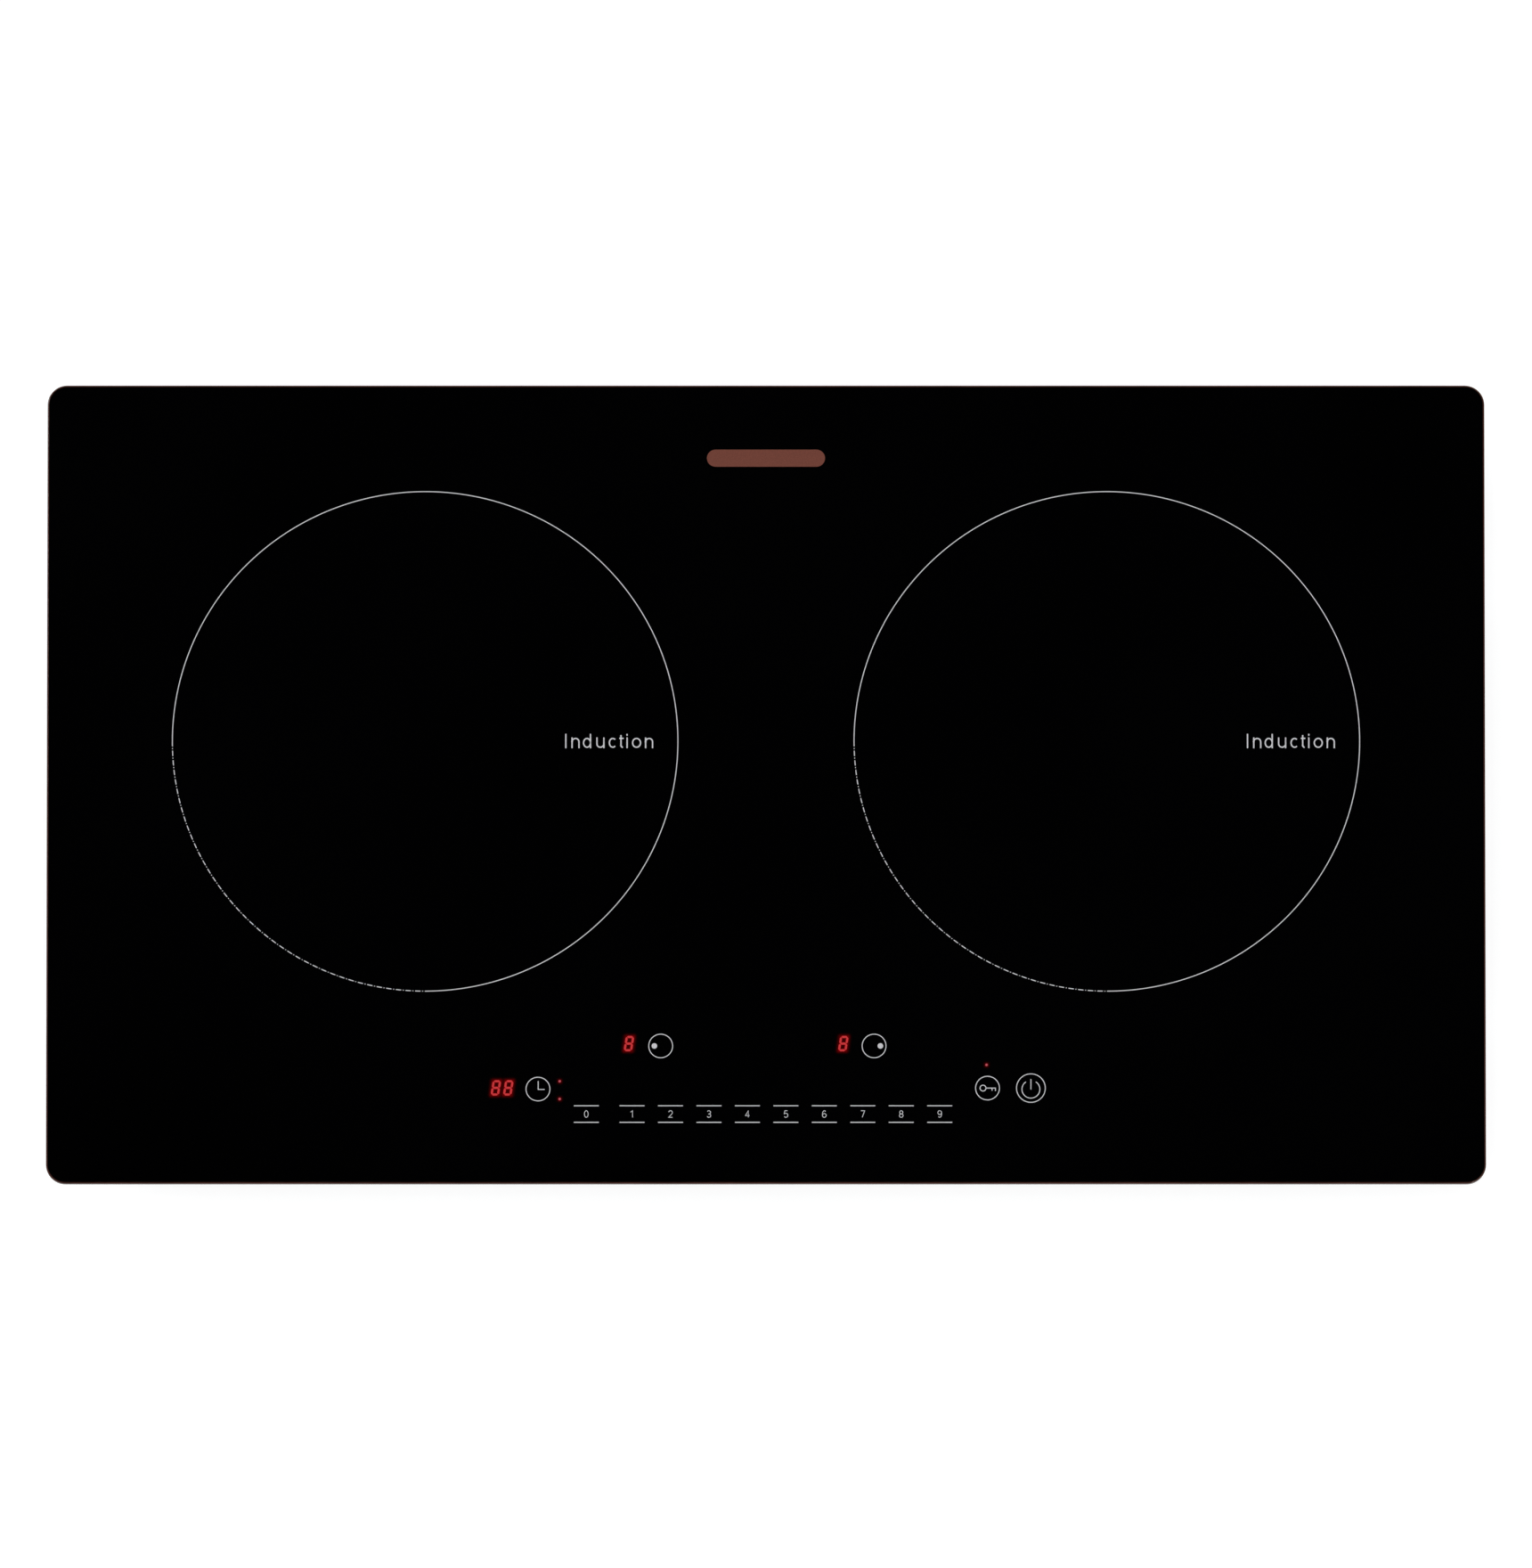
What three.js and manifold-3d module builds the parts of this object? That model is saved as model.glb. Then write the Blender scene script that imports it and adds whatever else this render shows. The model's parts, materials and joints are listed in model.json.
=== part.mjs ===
// Two-zone drop-in induction cooktop, in millimetres.
// Origin: centre of the footprint, at the underside of the feet. +X right, +Y rear, +Z up.
import * as THREE from "three";
import { mergeVertices } from "three/addons/utils/BufferGeometryUtils.js";
import Module from "manifold-3d";

const wasm = await Module();
wasm.setup();

// ---------------------------------------------------------------- driving dimensions
const GLASS = { width: 730, depth: 410, thick: 4, corner: 10, bevel: 0.8, bottom: 59 };
const GAP = 0.3; // clearance kept between touching pieces

const FOOT = { radius: 13, topRadius: 11, chamfer: 1.5, height: 6, x: 290, y: 140 };
const TRAY = {
  halfX: 340,
  halfY: 181,
  sheet: 1,
  bottom: 6,
  top: 57,
  corner: 6,
  flange: 7,
};
const GRILLE = { rows: 7, pitch: 11, slotHalf: 2.2, ribHalf: 3, inset: 2 }; // air intake under each fan
const EXHAUST = {
  // two rows of slots in the rear wall behind each fan
  count: 8,
  start: 120,
  pitch: 22,
  halfWidth: 7,
  height: 5,
  levels: [20, 34],
};
const BEAD = { inset: 1.5, width: 4 }; // silicone on the tray flange
const SEAL = { inset: 2, width: 11, thick: 3 }; // strip under the rim of the glass

const ZONE = { x: 173, y: 22 }; // centres of the cooking zones, mirrored in X
const COIL = { outer: 103, inner: 20, turns: 5, bottom: 53.6, thick: 4.2, groove: 0.9 };
const CARRIER = {
  outer: 105,
  hub: 24,
  bottom: 48,
  plate: 2.4,
  rim: 3,
  spokes: 8,
  spokeWidth: 20,
  pocketInner: 30, // the pocket under each spoke holds a ferrite bar
  pocketOuter: 97,
  boreClearance: 1.2,
};
const MICA = { radius: 104, hole: 9, bottom: 58.1, thick: 0.5 };
const SENSOR = { radius: 6, bottom: 50.8, top: 58.6, flange: 12, flangeThick: 1.6, chamfer: 0.8 };
const DECK = { half: 113, bottom: 35.8, thick: 1.2, corner: 4, leg: 18, toe: 9, hole: 34 };
const SPRING = {
  mean: 5.4,
  wire: 0.6,
  turns: 4,
  bottom: 37.3,
  top: 50.6,
  ring: 85,
  count: 3,
  seatClearance: 2.4,
};

const FAN = { x: 222, y: 88, side: 92, height: 24, bottom: 7.3, corner: 5, duct: 43, hub: 19 };
const FAN_HOLES = { radius: 2.2, inset: 5.5 };
const FAN_MOTOR = { height: 4, strutHalf: 2, strutHeight: 3, bearing: 2, shaft: 1.6 };
const BLADES = { count: 7, thick: 1.6, tipClearance: 1.5, lean: 0.55 }; // lean of a blade's top, in radians
const BOARD = { x: 186, y: -34, halfX: 88, halfY: 66, bottom: 12, thick: 1.6, post: 3, inset: 7 };
const SINK = {
  x: 220,
  y: -10,
  halfX: 36,
  halfY: 34,
  bottom: 19.2,
  base: 4,
  fins: 9,
  finThick: 1.6,
  top: 33.6,
  foot: 3, // thickness of the two walls it stands on
};
const TRANSISTOR = {
  halfX: 8,
  halfY: 10,
  thick: 5,
  legPitch: 5.4,
  legHalf: 0.6,
  legLength: 9,
  legLevel: 2,
  legThick: 0.7,
};
const CAPACITOR = { x: 130, y: -78, halfX: 16, halfY: 9, corner: 1.5, height: 19 };
const CHOKE = { x: 132, y: -24, outer: 16, inner: 7, height: 13, chamfer: 3 };

const PANEL = {
  halfX: 150,
  front: -176,
  rear: -124,
  bottom: 50,
  thick: 1.6,
  shelf: 46,
  shelfThick: 2,
  legs: 10,
};
const STANDOFF = { inset: 2, width: 4 }; // the pegs between the bracket's shelf and the control board
const DISPLAY = { depth: 12, top: 58.7, timerX: -133.8, timerY: -155.9, timerWidth: 17 };
const ZONE_DIGIT = { left: -69.5, right: 39.2, y: -133.4, width: 10 };
const RIBBON = {
  x: 108,
  width: 14,
  thick: 1,
  steps: 20,
  bends: [ // distance behind the control board, and height
    [5, 49],
    [10, 38],
    [11, 24],
    [16, 16.5],
  ],
};

const BRACKET = {
  y: 110,
  width: 22,
  sheet: 1.5,
  jawTop: 16,
  jaw: 22,
  screwZ: 35,
  travel: 14,
  slot: 4.4,
  margin: 4, // metal left above the slot
};
const SCREW = { shaft: 1.8, head: 4, headThick: 2.4, reach: 4, recess: 1.4, crossLong: 2.4, crossShort: 0.4 };

const GLAND = {
  z: 32,
  bore: 6.5,
  body: 11,
  flange: 15,
  flangeThick: 3,
  nut: 13,
  cap: 12.5,
  capEnd: 11,
  outside: 15,
  inside: 6,
};
const BLOCK = { halfX: 27, front: 124, rear: 144, height: 22, poles: 5, edge: 2, well: 2.6, wellDepth: 8 };

const FACETS = 32; // sides of a large round piece
const MIDDLE_FACETS = 24;
const SMALL_FACETS = 16;
const HOLE_FACETS = 12;
const SCREW_FACETS = 20;
const WELL_FACETS = 10;
const PEG_FACETS = 8;
const CORNER_STEPS = 6; // segments round a corner
const BEND_STEPS = 3; // segments round the corner of a small or hidden piece
const PAST = 1; // how far a cutting piece goes past the face it opens
const BITE = 0.5; // how far pieces that are fused run into each other

// ---------------------------------------------------------------- finishes
const finish = (color, roughness, metalness = 0) =>
  new THREE.MeshStandardMaterial({ color, roughness, metalness });

const FINISH = {
  glass: () => finish(0x050506, 0.06),
  steel: () => finish(0xb9bcbf, 0.42, 1),
  aluminium: () => finish(0xc3c6c9, 0.38, 1),
  rubber: () => finish(0x1c1c1d, 0.85),
  silicone: () => finish(0x2b2b2c, 0.6),
  copper: () => finish(0xb5653a, 0.45, 0.9),
  plastic: () => finish(0x1d1f22, 0.55),
  cream: () => finish(0xd9d2c0, 0.5),
  mica: () => finish(0xcbbf9f, 0.7),
  board: () => finish(0x1d5b34, 0.5),
  spring: () => finish(0xaeb2b6, 0.3, 1),
  display: () => finish(0x6b1416, 0.35),
  insulation: () => finish(0x8d2323, 0.5),
};

// ---------------------------------------------------------------- solids and booleans
function solid(geometry) {
  const bare = geometry.clone();
  bare.deleteAttribute("normal");
  bare.deleteAttribute("uv");
  const merged = mergeVertices(bare, 1e-4);
  return new wasm.Manifold(
    new wasm.Mesh({
      numProp: 3,
      vertProperties: merged.attributes.position.array,
      triVerts: new Uint32Array(merged.index.array),
    }),
  );
}

function geometryOf(made) {
  const mesh = made.getMesh();
  const geometry = new THREE.BufferGeometry();
  geometry.setAttribute("position", new THREE.BufferAttribute(new Float32Array(mesh.vertProperties), 3));
  geometry.setIndex(new THREE.BufferAttribute(new Uint32Array(mesh.triVerts), 1));
  return geometry;
}

const join = (first, ...rest) => rest.reduce((sum, piece) => sum.add(piece), first);
const cut = (first, ...rest) => rest.reduce((left, piece) => left.subtract(piece), first);

// A box given by its lowest and highest corners.
function box(x0, y0, z0, x1, y1, z1) {
  const geometry = new THREE.BoxGeometry(x1 - x0, y1 - y0, z1 - z0);
  return solid(geometry.translate((x0 + x1) / 2, (y0 + y1) / 2, (z0 + z1) / 2));
}

function cylinder(radius, z0, z1, x = 0, y = 0, facets = SMALL_FACETS) {
  const geometry = new THREE.CylinderGeometry(radius, radius, z1 - z0, facets);
  geometry.rotateX(Math.PI / 2);
  return solid(geometry.translate(x, y, (z0 + z1) / 2));
}

// A cylinder lying along X or Y.
function rod(radius, from, to, axis, a, z, facets = SMALL_FACETS) {
  const geometry = new THREE.CylinderGeometry(radius, radius, to - from, facets);
  const middle = (from + to) / 2;
  if (axis === "x") {
    geometry.rotateZ(Math.PI / 2);
    geometry.translate(middle, a, z);
  } else {
    geometry.translate(a, middle, z);
  }
  return solid(geometry);
}

function roundedOutline(halfX, halfY, radius) {
  const shape = new THREE.Shape();
  shape.moveTo(-halfX + radius, -halfY);
  shape.lineTo(halfX - radius, -halfY);
  shape.absarc(halfX - radius, -halfY + radius, radius, -Math.PI / 2, 0);
  shape.lineTo(halfX, halfY - radius);
  shape.absarc(halfX - radius, halfY - radius, radius, 0, Math.PI / 2);
  shape.lineTo(-halfX + radius, halfY);
  shape.absarc(-halfX + radius, halfY - radius, radius, Math.PI / 2, Math.PI);
  shape.lineTo(-halfX, -halfY + radius);
  shape.absarc(-halfX + radius, -halfY + radius, radius, Math.PI, 1.5 * Math.PI);
  return shape;
}

function slab(halfX, halfY, radius, z0, z1, steps = CORNER_STEPS) {
  const geometry = new THREE.ExtrudeGeometry(roundedOutline(halfX, halfY, radius), {
    depth: z1 - z0,
    bevelEnabled: false,
    curveSegments: steps,
  });
  return solid(geometry.translate(0, 0, z0));
}

// Turns a profile of [radius, z] points about Z. A profile that misses the axis closes on itself.
function lathe(profile, facets = FACETS) {
  const points = profile.map(([radius, z]) => new THREE.Vector2(radius, z));
  if (points[0].x > 0) points.push(points[0]);
  const geometry = new THREE.LatheGeometry(points, facets);
  return geometry.rotateX(Math.PI / 2);
}

// A round tube along a smooth curve through the points.
function tube(points, radius, steps, sides = 8) {
  const curve = new THREE.CatmullRomCurve3(points.map((p) => new THREE.Vector3(...p)), false, "centripetal");
  return tubeAlong(curve, radius, steps, sides);
}

function tubeAlong(curve, radius, steps, sides) {
  const section = new THREE.Shape();
  for (let i = 0; i < sides; i++) {
    const angle = (2 * Math.PI * i) / sides;
    const x = radius * Math.cos(angle);
    const y = radius * Math.sin(angle);
    if (i === 0) section.moveTo(x, y);
    else section.lineTo(x, y);
  }
  section.closePath();
  return new THREE.ExtrudeGeometry(section, { steps, extrudePath: curve, bevelEnabled: false });
}

// ---------------------------------------------------------------- the scene graph
const cooktop = new THREE.Group();

function add(name, shape, look, parent = cooktop) {
  const geometry = shape.isBufferGeometry ? shape : geometryOf(shape);
  const mesh = new THREE.Mesh(geometry, look());
  mesh.name = name;
  parent.add(mesh);
  return mesh;
}

const SIDES = [
  { name: "left", sign: -1 },
  { name: "right", sign: 1 },
];
const ENDS = [
  { name: "front", sign: -1 },
  { name: "rear", sign: 1 },
];

// ---------------------------------------------------------------- glass, seal and bond
function glassPanel() {
  const { width, depth, thick, corner, bevel, bottom } = GLASS;
  const outline = roundedOutline(width / 2 - bevel, depth / 2 - bevel, corner - bevel);
  const geometry = new THREE.ExtrudeGeometry(outline, {
    depth: thick - 2 * bevel,
    bevelEnabled: true,
    bevelThickness: bevel,
    bevelSize: bevel,
    bevelSegments: 2,
    curveSegments: CORNER_STEPS,
  });
  return geometry.translate(0, 0, bottom + bevel);
}

function ring(halfX, halfY, corner, width, z0, z1) {
  const outer = slab(halfX, halfY, corner, z0, z1);
  const inner = slab(halfX - width, halfY - width, Math.max(corner - width, 1), z0 - PAST, z1 + PAST);
  return cut(outer, inner);
}

function rimSeal() {
  const halfX = GLASS.width / 2 - SEAL.inset;
  const halfY = GLASS.depth / 2 - SEAL.inset;
  const top = GLASS.bottom;
  return ring(halfX, halfY, GLASS.corner - SEAL.inset, SEAL.width, top - SEAL.thick, top);
}

function siliconeBead() {
  const halfX = TRAY.halfX + TRAY.flange - BEAD.inset;
  const halfY = TRAY.halfY + TRAY.flange - BEAD.inset;
  return ring(halfX, halfY, TRAY.corner, BEAD.width, TRAY.top, GLASS.bottom);
}

// ---------------------------------------------------------------- base tray
function intakeGrille(sign) {
  const { rows, pitch, slotHalf, ribHalf, inset } = GRILLE;
  const x = sign * FAN.x;
  const [low, high] = [TRAY.bottom - TRAY.sheet, TRAY.bottom + 2 * TRAY.sheet];
  const slots = [];
  for (let i = 0; i < rows; i++) {
    const offset = (i - (rows - 1) / 2) * pitch;
    const reach = Math.sqrt((FAN.duct - inset) ** 2 - offset ** 2);
    const y = FAN.y + offset;
    slots.push(box(x - reach, y - slotHalf, low, x - ribHalf, y + slotHalf, high));
    slots.push(box(x + ribHalf, y - slotHalf, low, x + reach, y + slotHalf, high));
  }
  return slots;
}

function exhaustSlots(sign) {
  const { count, start, pitch, halfWidth, height, levels } = EXHAUST;
  const [front, rear] = [TRAY.halfY - 4 * TRAY.sheet, TRAY.halfY + 2 * TRAY.sheet];
  const slots = [];
  for (let i = 0; i < count; i++) {
    const x = sign * (start + i * pitch);
    for (const z of levels) slots.push(box(x - halfWidth, front, z, x + halfWidth, rear, z + height));
  }
  return slots;
}

function baseTray() {
  const { halfX, halfY, sheet, bottom, top, corner, flange } = TRAY;
  const shellOuter = slab(halfX, halfY, corner, bottom, top, BEND_STEPS);
  const rim = slab(halfX + flange, halfY + flange, corner + flange, top - sheet, top, BEND_STEPS);
  const hollow = slab(halfX - sheet, halfY - sheet, corner - sheet, bottom + sheet, top + PAST, BEND_STEPS);
  const holes = [];
  for (const side of SIDES) {
    holes.push(...intakeGrille(side.sign), ...exhaustSlots(side.sign));
    const [from, to] = [side.sign * halfX - 3 * sheet, side.sign * halfX + 3 * sheet];
    for (const end of ENDS)
      holes.push(rod(SCREW.shaft + GAP, from, to, "x", end.sign * BRACKET.y, BRACKET.screwZ));
  }
  holes.push(rod(GLAND.body + GAP, halfY - 4 * sheet, halfY + 4 * sheet, "y", 0, GLAND.z, MIDDLE_FACETS));
  return cut(join(shellOuter, rim), hollow, ...holes);
}

function foot(x, y) {
  const profile = [
    [0, 0],
    [FOOT.radius - FOOT.chamfer, 0],
    [FOOT.radius, FOOT.chamfer],
    [FOOT.topRadius, FOOT.height],
    [0, FOOT.height],
  ];
  return lathe(profile, SMALL_FACETS).translate(x, y, 0);
}

// ---------------------------------------------------------------- cooking zone
function coilWinding() {
  const { outer, inner, turns, bottom, thick, groove } = COIL;
  const pitch = (outer - inner) / turns;
  const profile = [
    [inner, bottom],
    [outer, bottom],
    [outer, bottom + thick],
  ];
  for (let i = turns - 1; i > 0; i--) {
    const radius = inner + i * pitch;
    profile.push([radius + groove, bottom + thick]);
    profile.push([radius, bottom + thick - groove]);
    profile.push([radius - groove, bottom + thick]);
  }
  profile.push([inner, bottom + thick]);
  return lathe(profile);
}

function coilCarrier() {
  const { outer, hub, bottom, plate, rim, spokes, spokeWidth, pocketInner, pocketOuter } = CARRIER;
  const top = COIL.bottom - GAP;
  const half = spokeWidth / 2;
  const disc = cylinder(outer, top - plate, top, 0, 0, FACETS);
  const pieces = [cylinder(hub, bottom, top, 0, 0, MIDDLE_FACETS)];
  for (let i = 0; i < spokes; i++) {
    const spoke = box(hub - 3, -half, bottom, outer - 2, half, top);
    const pocket = box(pocketInner, -half + rim, bottom - PAST, pocketOuter, half - rim, top - plate);
    pieces.push(cut(spoke, pocket).rotate([0, 0, (360 * i) / spokes]));
  }
  const recessTop = SENSOR.bottom + SENSOR.flangeThick + GAP;
  const boreRadius = SENSOR.radius + CARRIER.boreClearance;
  const bore = cylinder(boreRadius, bottom - PAST, top + PAST, 0, 0, MIDDLE_FACETS);
  const recess = cylinder(SENSOR.flange + GAP, bottom - PAST, recessTop, 0, 0, MIDDLE_FACETS);
  return cut(join(disc, ...pieces), bore, recess, ...springCups(bottom));
}

const springAngle = (i) => Math.PI / 2 + Math.PI / CARRIER.spokes + (2 * Math.PI * i) / SPRING.count;

// The open windows between spokes where the springs bear on the carrier's plate.
function springCups(bottom) {
  const cups = [];
  const radius = SPRING.mean + SPRING.seatClearance;
  const top = COIL.bottom - GAP - CARRIER.plate;
  for (let i = 0; i < SPRING.count; i++) {
    const x = SPRING.ring * Math.cos(springAngle(i));
    const y = SPRING.ring * Math.sin(springAngle(i));
    cups.push(cylinder(radius, bottom - PAST, top, x, y));
  }
  return cups;
}

function micaSheet() {
  const { radius, hole, bottom, thick } = MICA;
  return cut(
    cylinder(radius, bottom, bottom + thick, 0, 0, FACETS),
    cylinder(hole, bottom - PAST, bottom + thick + PAST, 0, 0, MIDDLE_FACETS),
  );
}

function temperatureSensor() {
  const { radius, bottom, top, flange, flangeThick, chamfer } = SENSOR;
  const profile = [
    [0, bottom],
    [flange, bottom],
    [flange, bottom + flangeThick],
    [radius, bottom + flangeThick],
    [radius, top - chamfer],
    [radius - chamfer, top],
    [0, top],
  ];
  return lathe(profile, MIDDLE_FACETS);
}

class Helix extends THREE.Curve {
  getPoint(t) {
    const angle = 2 * Math.PI * SPRING.turns * t;
    const low = SPRING.bottom + SPRING.wire;
    const high = SPRING.top - SPRING.wire;
    const x = SPRING.mean * Math.cos(angle);
    const y = SPRING.mean * Math.sin(angle);
    return new THREE.Vector3(x, y, low + (high - low) * t);
  }
}

function coilSpring() {
  const stepsPerTurn = 9;
  const sides = 4;
  return tubeAlong(new Helix(), SPRING.wire, SPRING.turns * stepsPerTurn, sides);
}

// The aluminium bridge over the electronics: a plate with a bent leg and toe at each corner.
function coilDeck() {
  const { half, bottom, thick, corner, leg, toe, hole } = DECK;
  const floor = TRAY.bottom + TRAY.sheet + GAP;
  const pieces = [];
  for (const x of [-1, 1])
    for (const y of [-1, 1]) {
      const outerY = y * half;
      const innerY = y * (half - leg);
      const [y0, y1] = [Math.min(outerY, innerY), Math.max(outerY, innerY)];
      const [x0, x1] = x > 0 ? [half - thick, half] : [-half, -half + thick];
      const [t0, t1] = x > 0 ? [half - toe, half] : [-half, -half + toe];
      pieces.push(box(x0, y0, floor, x1, y1, bottom + thick));
      pieces.push(box(t0, y0, floor, t1, y1, floor + thick));
    }
  const plate = slab(half, half, corner, bottom, bottom + thick, BEND_STEPS);
  const opening = cylinder(hole, bottom - PAST, bottom + thick + PAST, 0, 0, MIDDLE_FACETS);
  return cut(join(plate, ...pieces), opening);
}

// ---------------------------------------------------------------- cooling fan
function fanFrame() {
  const { side, height, bottom, corner, duct, hub } = FAN;
  const half = side / 2;
  const top = bottom + height;
  const body = slab(half, half, corner, bottom, top, BEND_STEPS);
  const bore = cylinder(duct, bottom - PAST, top + PAST, 0, 0, FACETS);
  const screws = [];
  const reach = half - FAN_HOLES.inset;
  for (const x of [-reach, reach])
    for (const y of [-reach, reach])
      screws.push(cylinder(FAN_HOLES.radius, bottom - PAST, top + PAST, x, y, PEG_FACETS));
  const motor = cylinder(hub, bottom, bottom + FAN_MOTOR.height, 0, 0, MIDDLE_FACETS);
  const struts = [];
  const { strutHalf, strutHeight } = FAN_MOTOR;
  for (const angle of [45, 135, 225, 315]) {
    const strut = box(hub - 2, -strutHalf, bottom, duct + 1, strutHalf, bottom + strutHeight);
    struts.push(strut.rotate([0, 0, angle]));
  }
  const bearing = cylinder(FAN_MOTOR.bearing, bottom - PAST, top, 0, 0, HOLE_FACETS);
  return cut(join(cut(body, bore, ...screws), motor, ...struts), bearing);
}

function fanImpeller() {
  const { height, bottom, duct, hub } = FAN;
  const { count, thick, tipClearance } = BLADES;
  const low = bottom + FAN_MOTOR.height + 2 * GAP;
  const high = bottom + height - tipClearance;
  const tip = duct - tipClearance;
  const shaft = cylinder(FAN_MOTOR.shaft, bottom + BITE, low + 1, 0, 0, HOLE_FACETS);
  const pieces = [cylinder(hub, low, high, 0, 0, MIDDLE_FACETS), shaft];
  for (let i = 0; i < count; i++) {
    const blade = new THREE.BoxGeometry(tip - hub + 2, thick, high - low - 1, 3, 1, 3);
    blade.translate((tip + hub) / 2 - 1, 0, (high + low) / 2);
    const place = blade.attributes.position;
    for (let k = 0; k < place.count; k++) {
      const lean = BLADES.lean * ((place.getZ(k) - low) / (high - low) - 0.5);
      const x = place.getX(k);
      const y = place.getY(k);
      place.setXY(k, x * Math.cos(lean) - y * Math.sin(lean), x * Math.sin(lean) + y * Math.cos(lean));
    }
    pieces.push(solid(blade).rotate([0, 0, (360 * i) / count]));
  }
  return join(...pieces);
}

// ---------------------------------------------------------------- power electronics
const boardTop = BOARD.bottom + BOARD.thick + GAP;

// The circuit board of one zone with the four posts it stands on.
function powerBoard() {
  const { halfX, halfY, bottom, thick, post, inset } = BOARD;
  const floor = TRAY.bottom + TRAY.sheet + GAP;
  const pieces = [box(-halfX, -halfY, bottom, halfX, halfY, bottom + thick)];
  const [postX, postY] = [halfX - inset, halfY - inset];
  for (const x of [-postX, postX])
    for (const y of [-postY, postY]) pieces.push(cylinder(post, floor, bottom + BITE, x, y, PEG_FACETS));
  return join(...pieces);
}

function heatSink() {
  const { halfX, halfY, bottom, base, fins, finThick, top, foot } = SINK;
  const pieces = [box(-halfX, -halfY, bottom, halfX, halfY, bottom + base)];
  for (let i = 0; i < fins; i++) {
    const x = -halfX + ((2 * halfX - finThick) * i) / (fins - 1);
    pieces.push(box(x, -halfY, bottom + base - BITE, x + finThick, halfY, top));
  }
  for (const x of [-halfX, halfX - foot])
    pieces.push(box(x, -halfY, boardTop, x + foot, halfY, bottom + BITE));
  return join(...pieces);
}

function powerTransistor() {
  const { halfX, halfY, thick, legPitch, legHalf, legLength, legLevel, legThick } = TRANSISTOR;
  const bottom = SINK.bottom - GAP - thick;
  const pieces = [box(-halfX, -halfY, bottom, halfX, halfY, bottom + thick)];
  const low = bottom + legLevel;
  for (const x of [-legPitch, 0, legPitch])
    pieces.push(box(x - legHalf, -halfY - legLength, low, x + legHalf, -halfY + BITE, low + legThick));
  return join(...pieces);
}

function filterCapacitor() {
  const { halfX, halfY, corner, height } = CAPACITOR;
  return slab(halfX, halfY, corner, boardTop, boardTop + height, BEND_STEPS - 1);
}

function choke() {
  const { outer, inner, height, chamfer } = CHOKE;
  const top = boardTop + height;
  const profile = [
    [inner + chamfer, boardTop],
    [outer - chamfer, boardTop],
    [outer, boardTop + chamfer],
    [outer, top - chamfer],
    [outer - chamfer, top],
    [inner + chamfer, top],
    [inner, top - chamfer],
    [inner, boardTop + chamfer],
  ];
  return lathe(profile, SMALL_FACETS);
}

// ---------------------------------------------------------------- touch control
function controlBoard() {
  return box(-PANEL.halfX, PANEL.front, PANEL.bottom, PANEL.halfX, PANEL.rear, PANEL.bottom + PANEL.thick);
}

function controlBracket() {
  const { halfX, front, rear, bottom, shelf, shelfThick, legs } = PANEL;
  const { inset, width } = STANDOFF;
  const floor = TRAY.bottom + TRAY.sheet + GAP;
  const middle = shelf + shelfThick / 2; // legs and pegs run into the shelf this far
  const pieces = [box(-halfX, front, shelf, halfX, rear, shelf + shelfThick)];
  for (const x of [-halfX + width, -legs / 2, halfX - legs - width]) {
    const [x0, x1] = [x + inset, x + inset + width];
    pieces.push(box(x, rear - shelfThick, floor, x + legs, rear, middle));
    pieces.push(box(x, front, floor, x + legs, front + shelfThick, middle));
    pieces.push(box(x0, rear - inset - width, middle, x1, rear - inset, bottom - GAP));
    pieces.push(box(x0, front + inset, middle, x1, front + inset + width, bottom - GAP));
  }
  return join(...pieces);
}

function display(x, y, width) {
  const bottom = PANEL.bottom + PANEL.thick + GAP;
  const half = DISPLAY.depth / 2;
  return box(x - width / 2, y - half, bottom, x + width / 2, y + half, DISPLAY.top);
}

// A flat ribbon that leaves the control board's rear edge and drops to the right power board.
function ribbonCable() {
  const { x, width, thick, steps, bends } = RIBBON;
  const start = PANEL.rear + GAP;
  const reach = BOARD.y - BOARD.halfY + 6;
  const path = new THREE.CatmullRomCurve3([
    new THREE.Vector3(start, PANEL.bottom + PANEL.thick / 2, 0),
    ...bends.map(([behind, height]) => new THREE.Vector3(start + behind, height, 0)),
    new THREE.Vector3(reach, boardTop + 2 * GAP, 0),
  ]);
  const half = thick / 2;
  const left = [];
  const right = [];
  for (let i = 0; i <= steps; i++) {
    const point = path.getPoint(i / steps);
    const along = path.getTangent(i / steps);
    left.push(new THREE.Vector2(point.x - along.y * half, point.y + along.x * half));
    right.push(new THREE.Vector2(point.x + along.y * half, point.y - along.x * half));
  }
  const geometry = new THREE.ExtrudeGeometry(new THREE.Shape([...left, ...right.reverse()]), {
    depth: width,
    bevelEnabled: false,
  });
  // The side view was drawn in XY: turn it so that it runs along Y and the ribbon's width along X.
  geometry.rotateX(Math.PI / 2);
  geometry.rotateZ(Math.PI / 2);
  return geometry.translate(x, 0, 0);
}

// ---------------------------------------------------------------- mains side
function cableGland() {
  const { bore, body, flange, flangeThick, nut, cap, capEnd, outside, inside } = GLAND;
  const wall = TRAY.sheet;
  const profile = [
    [bore, -wall - inside],
    [nut, -wall - inside],
    [nut, -wall - GAP],
    [body, -wall - GAP],
    [body, GAP],
    [flange, GAP],
    [flange, flangeThick],
    [cap, flangeThick + 1],
    [capEnd, outside],
    [bore, outside],
  ];
  const geometry = lathe(profile, MIDDLE_FACETS);
  geometry.rotateX(-Math.PI / 2);
  return geometry.translate(0, TRAY.halfY, GLAND.z);
}

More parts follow.
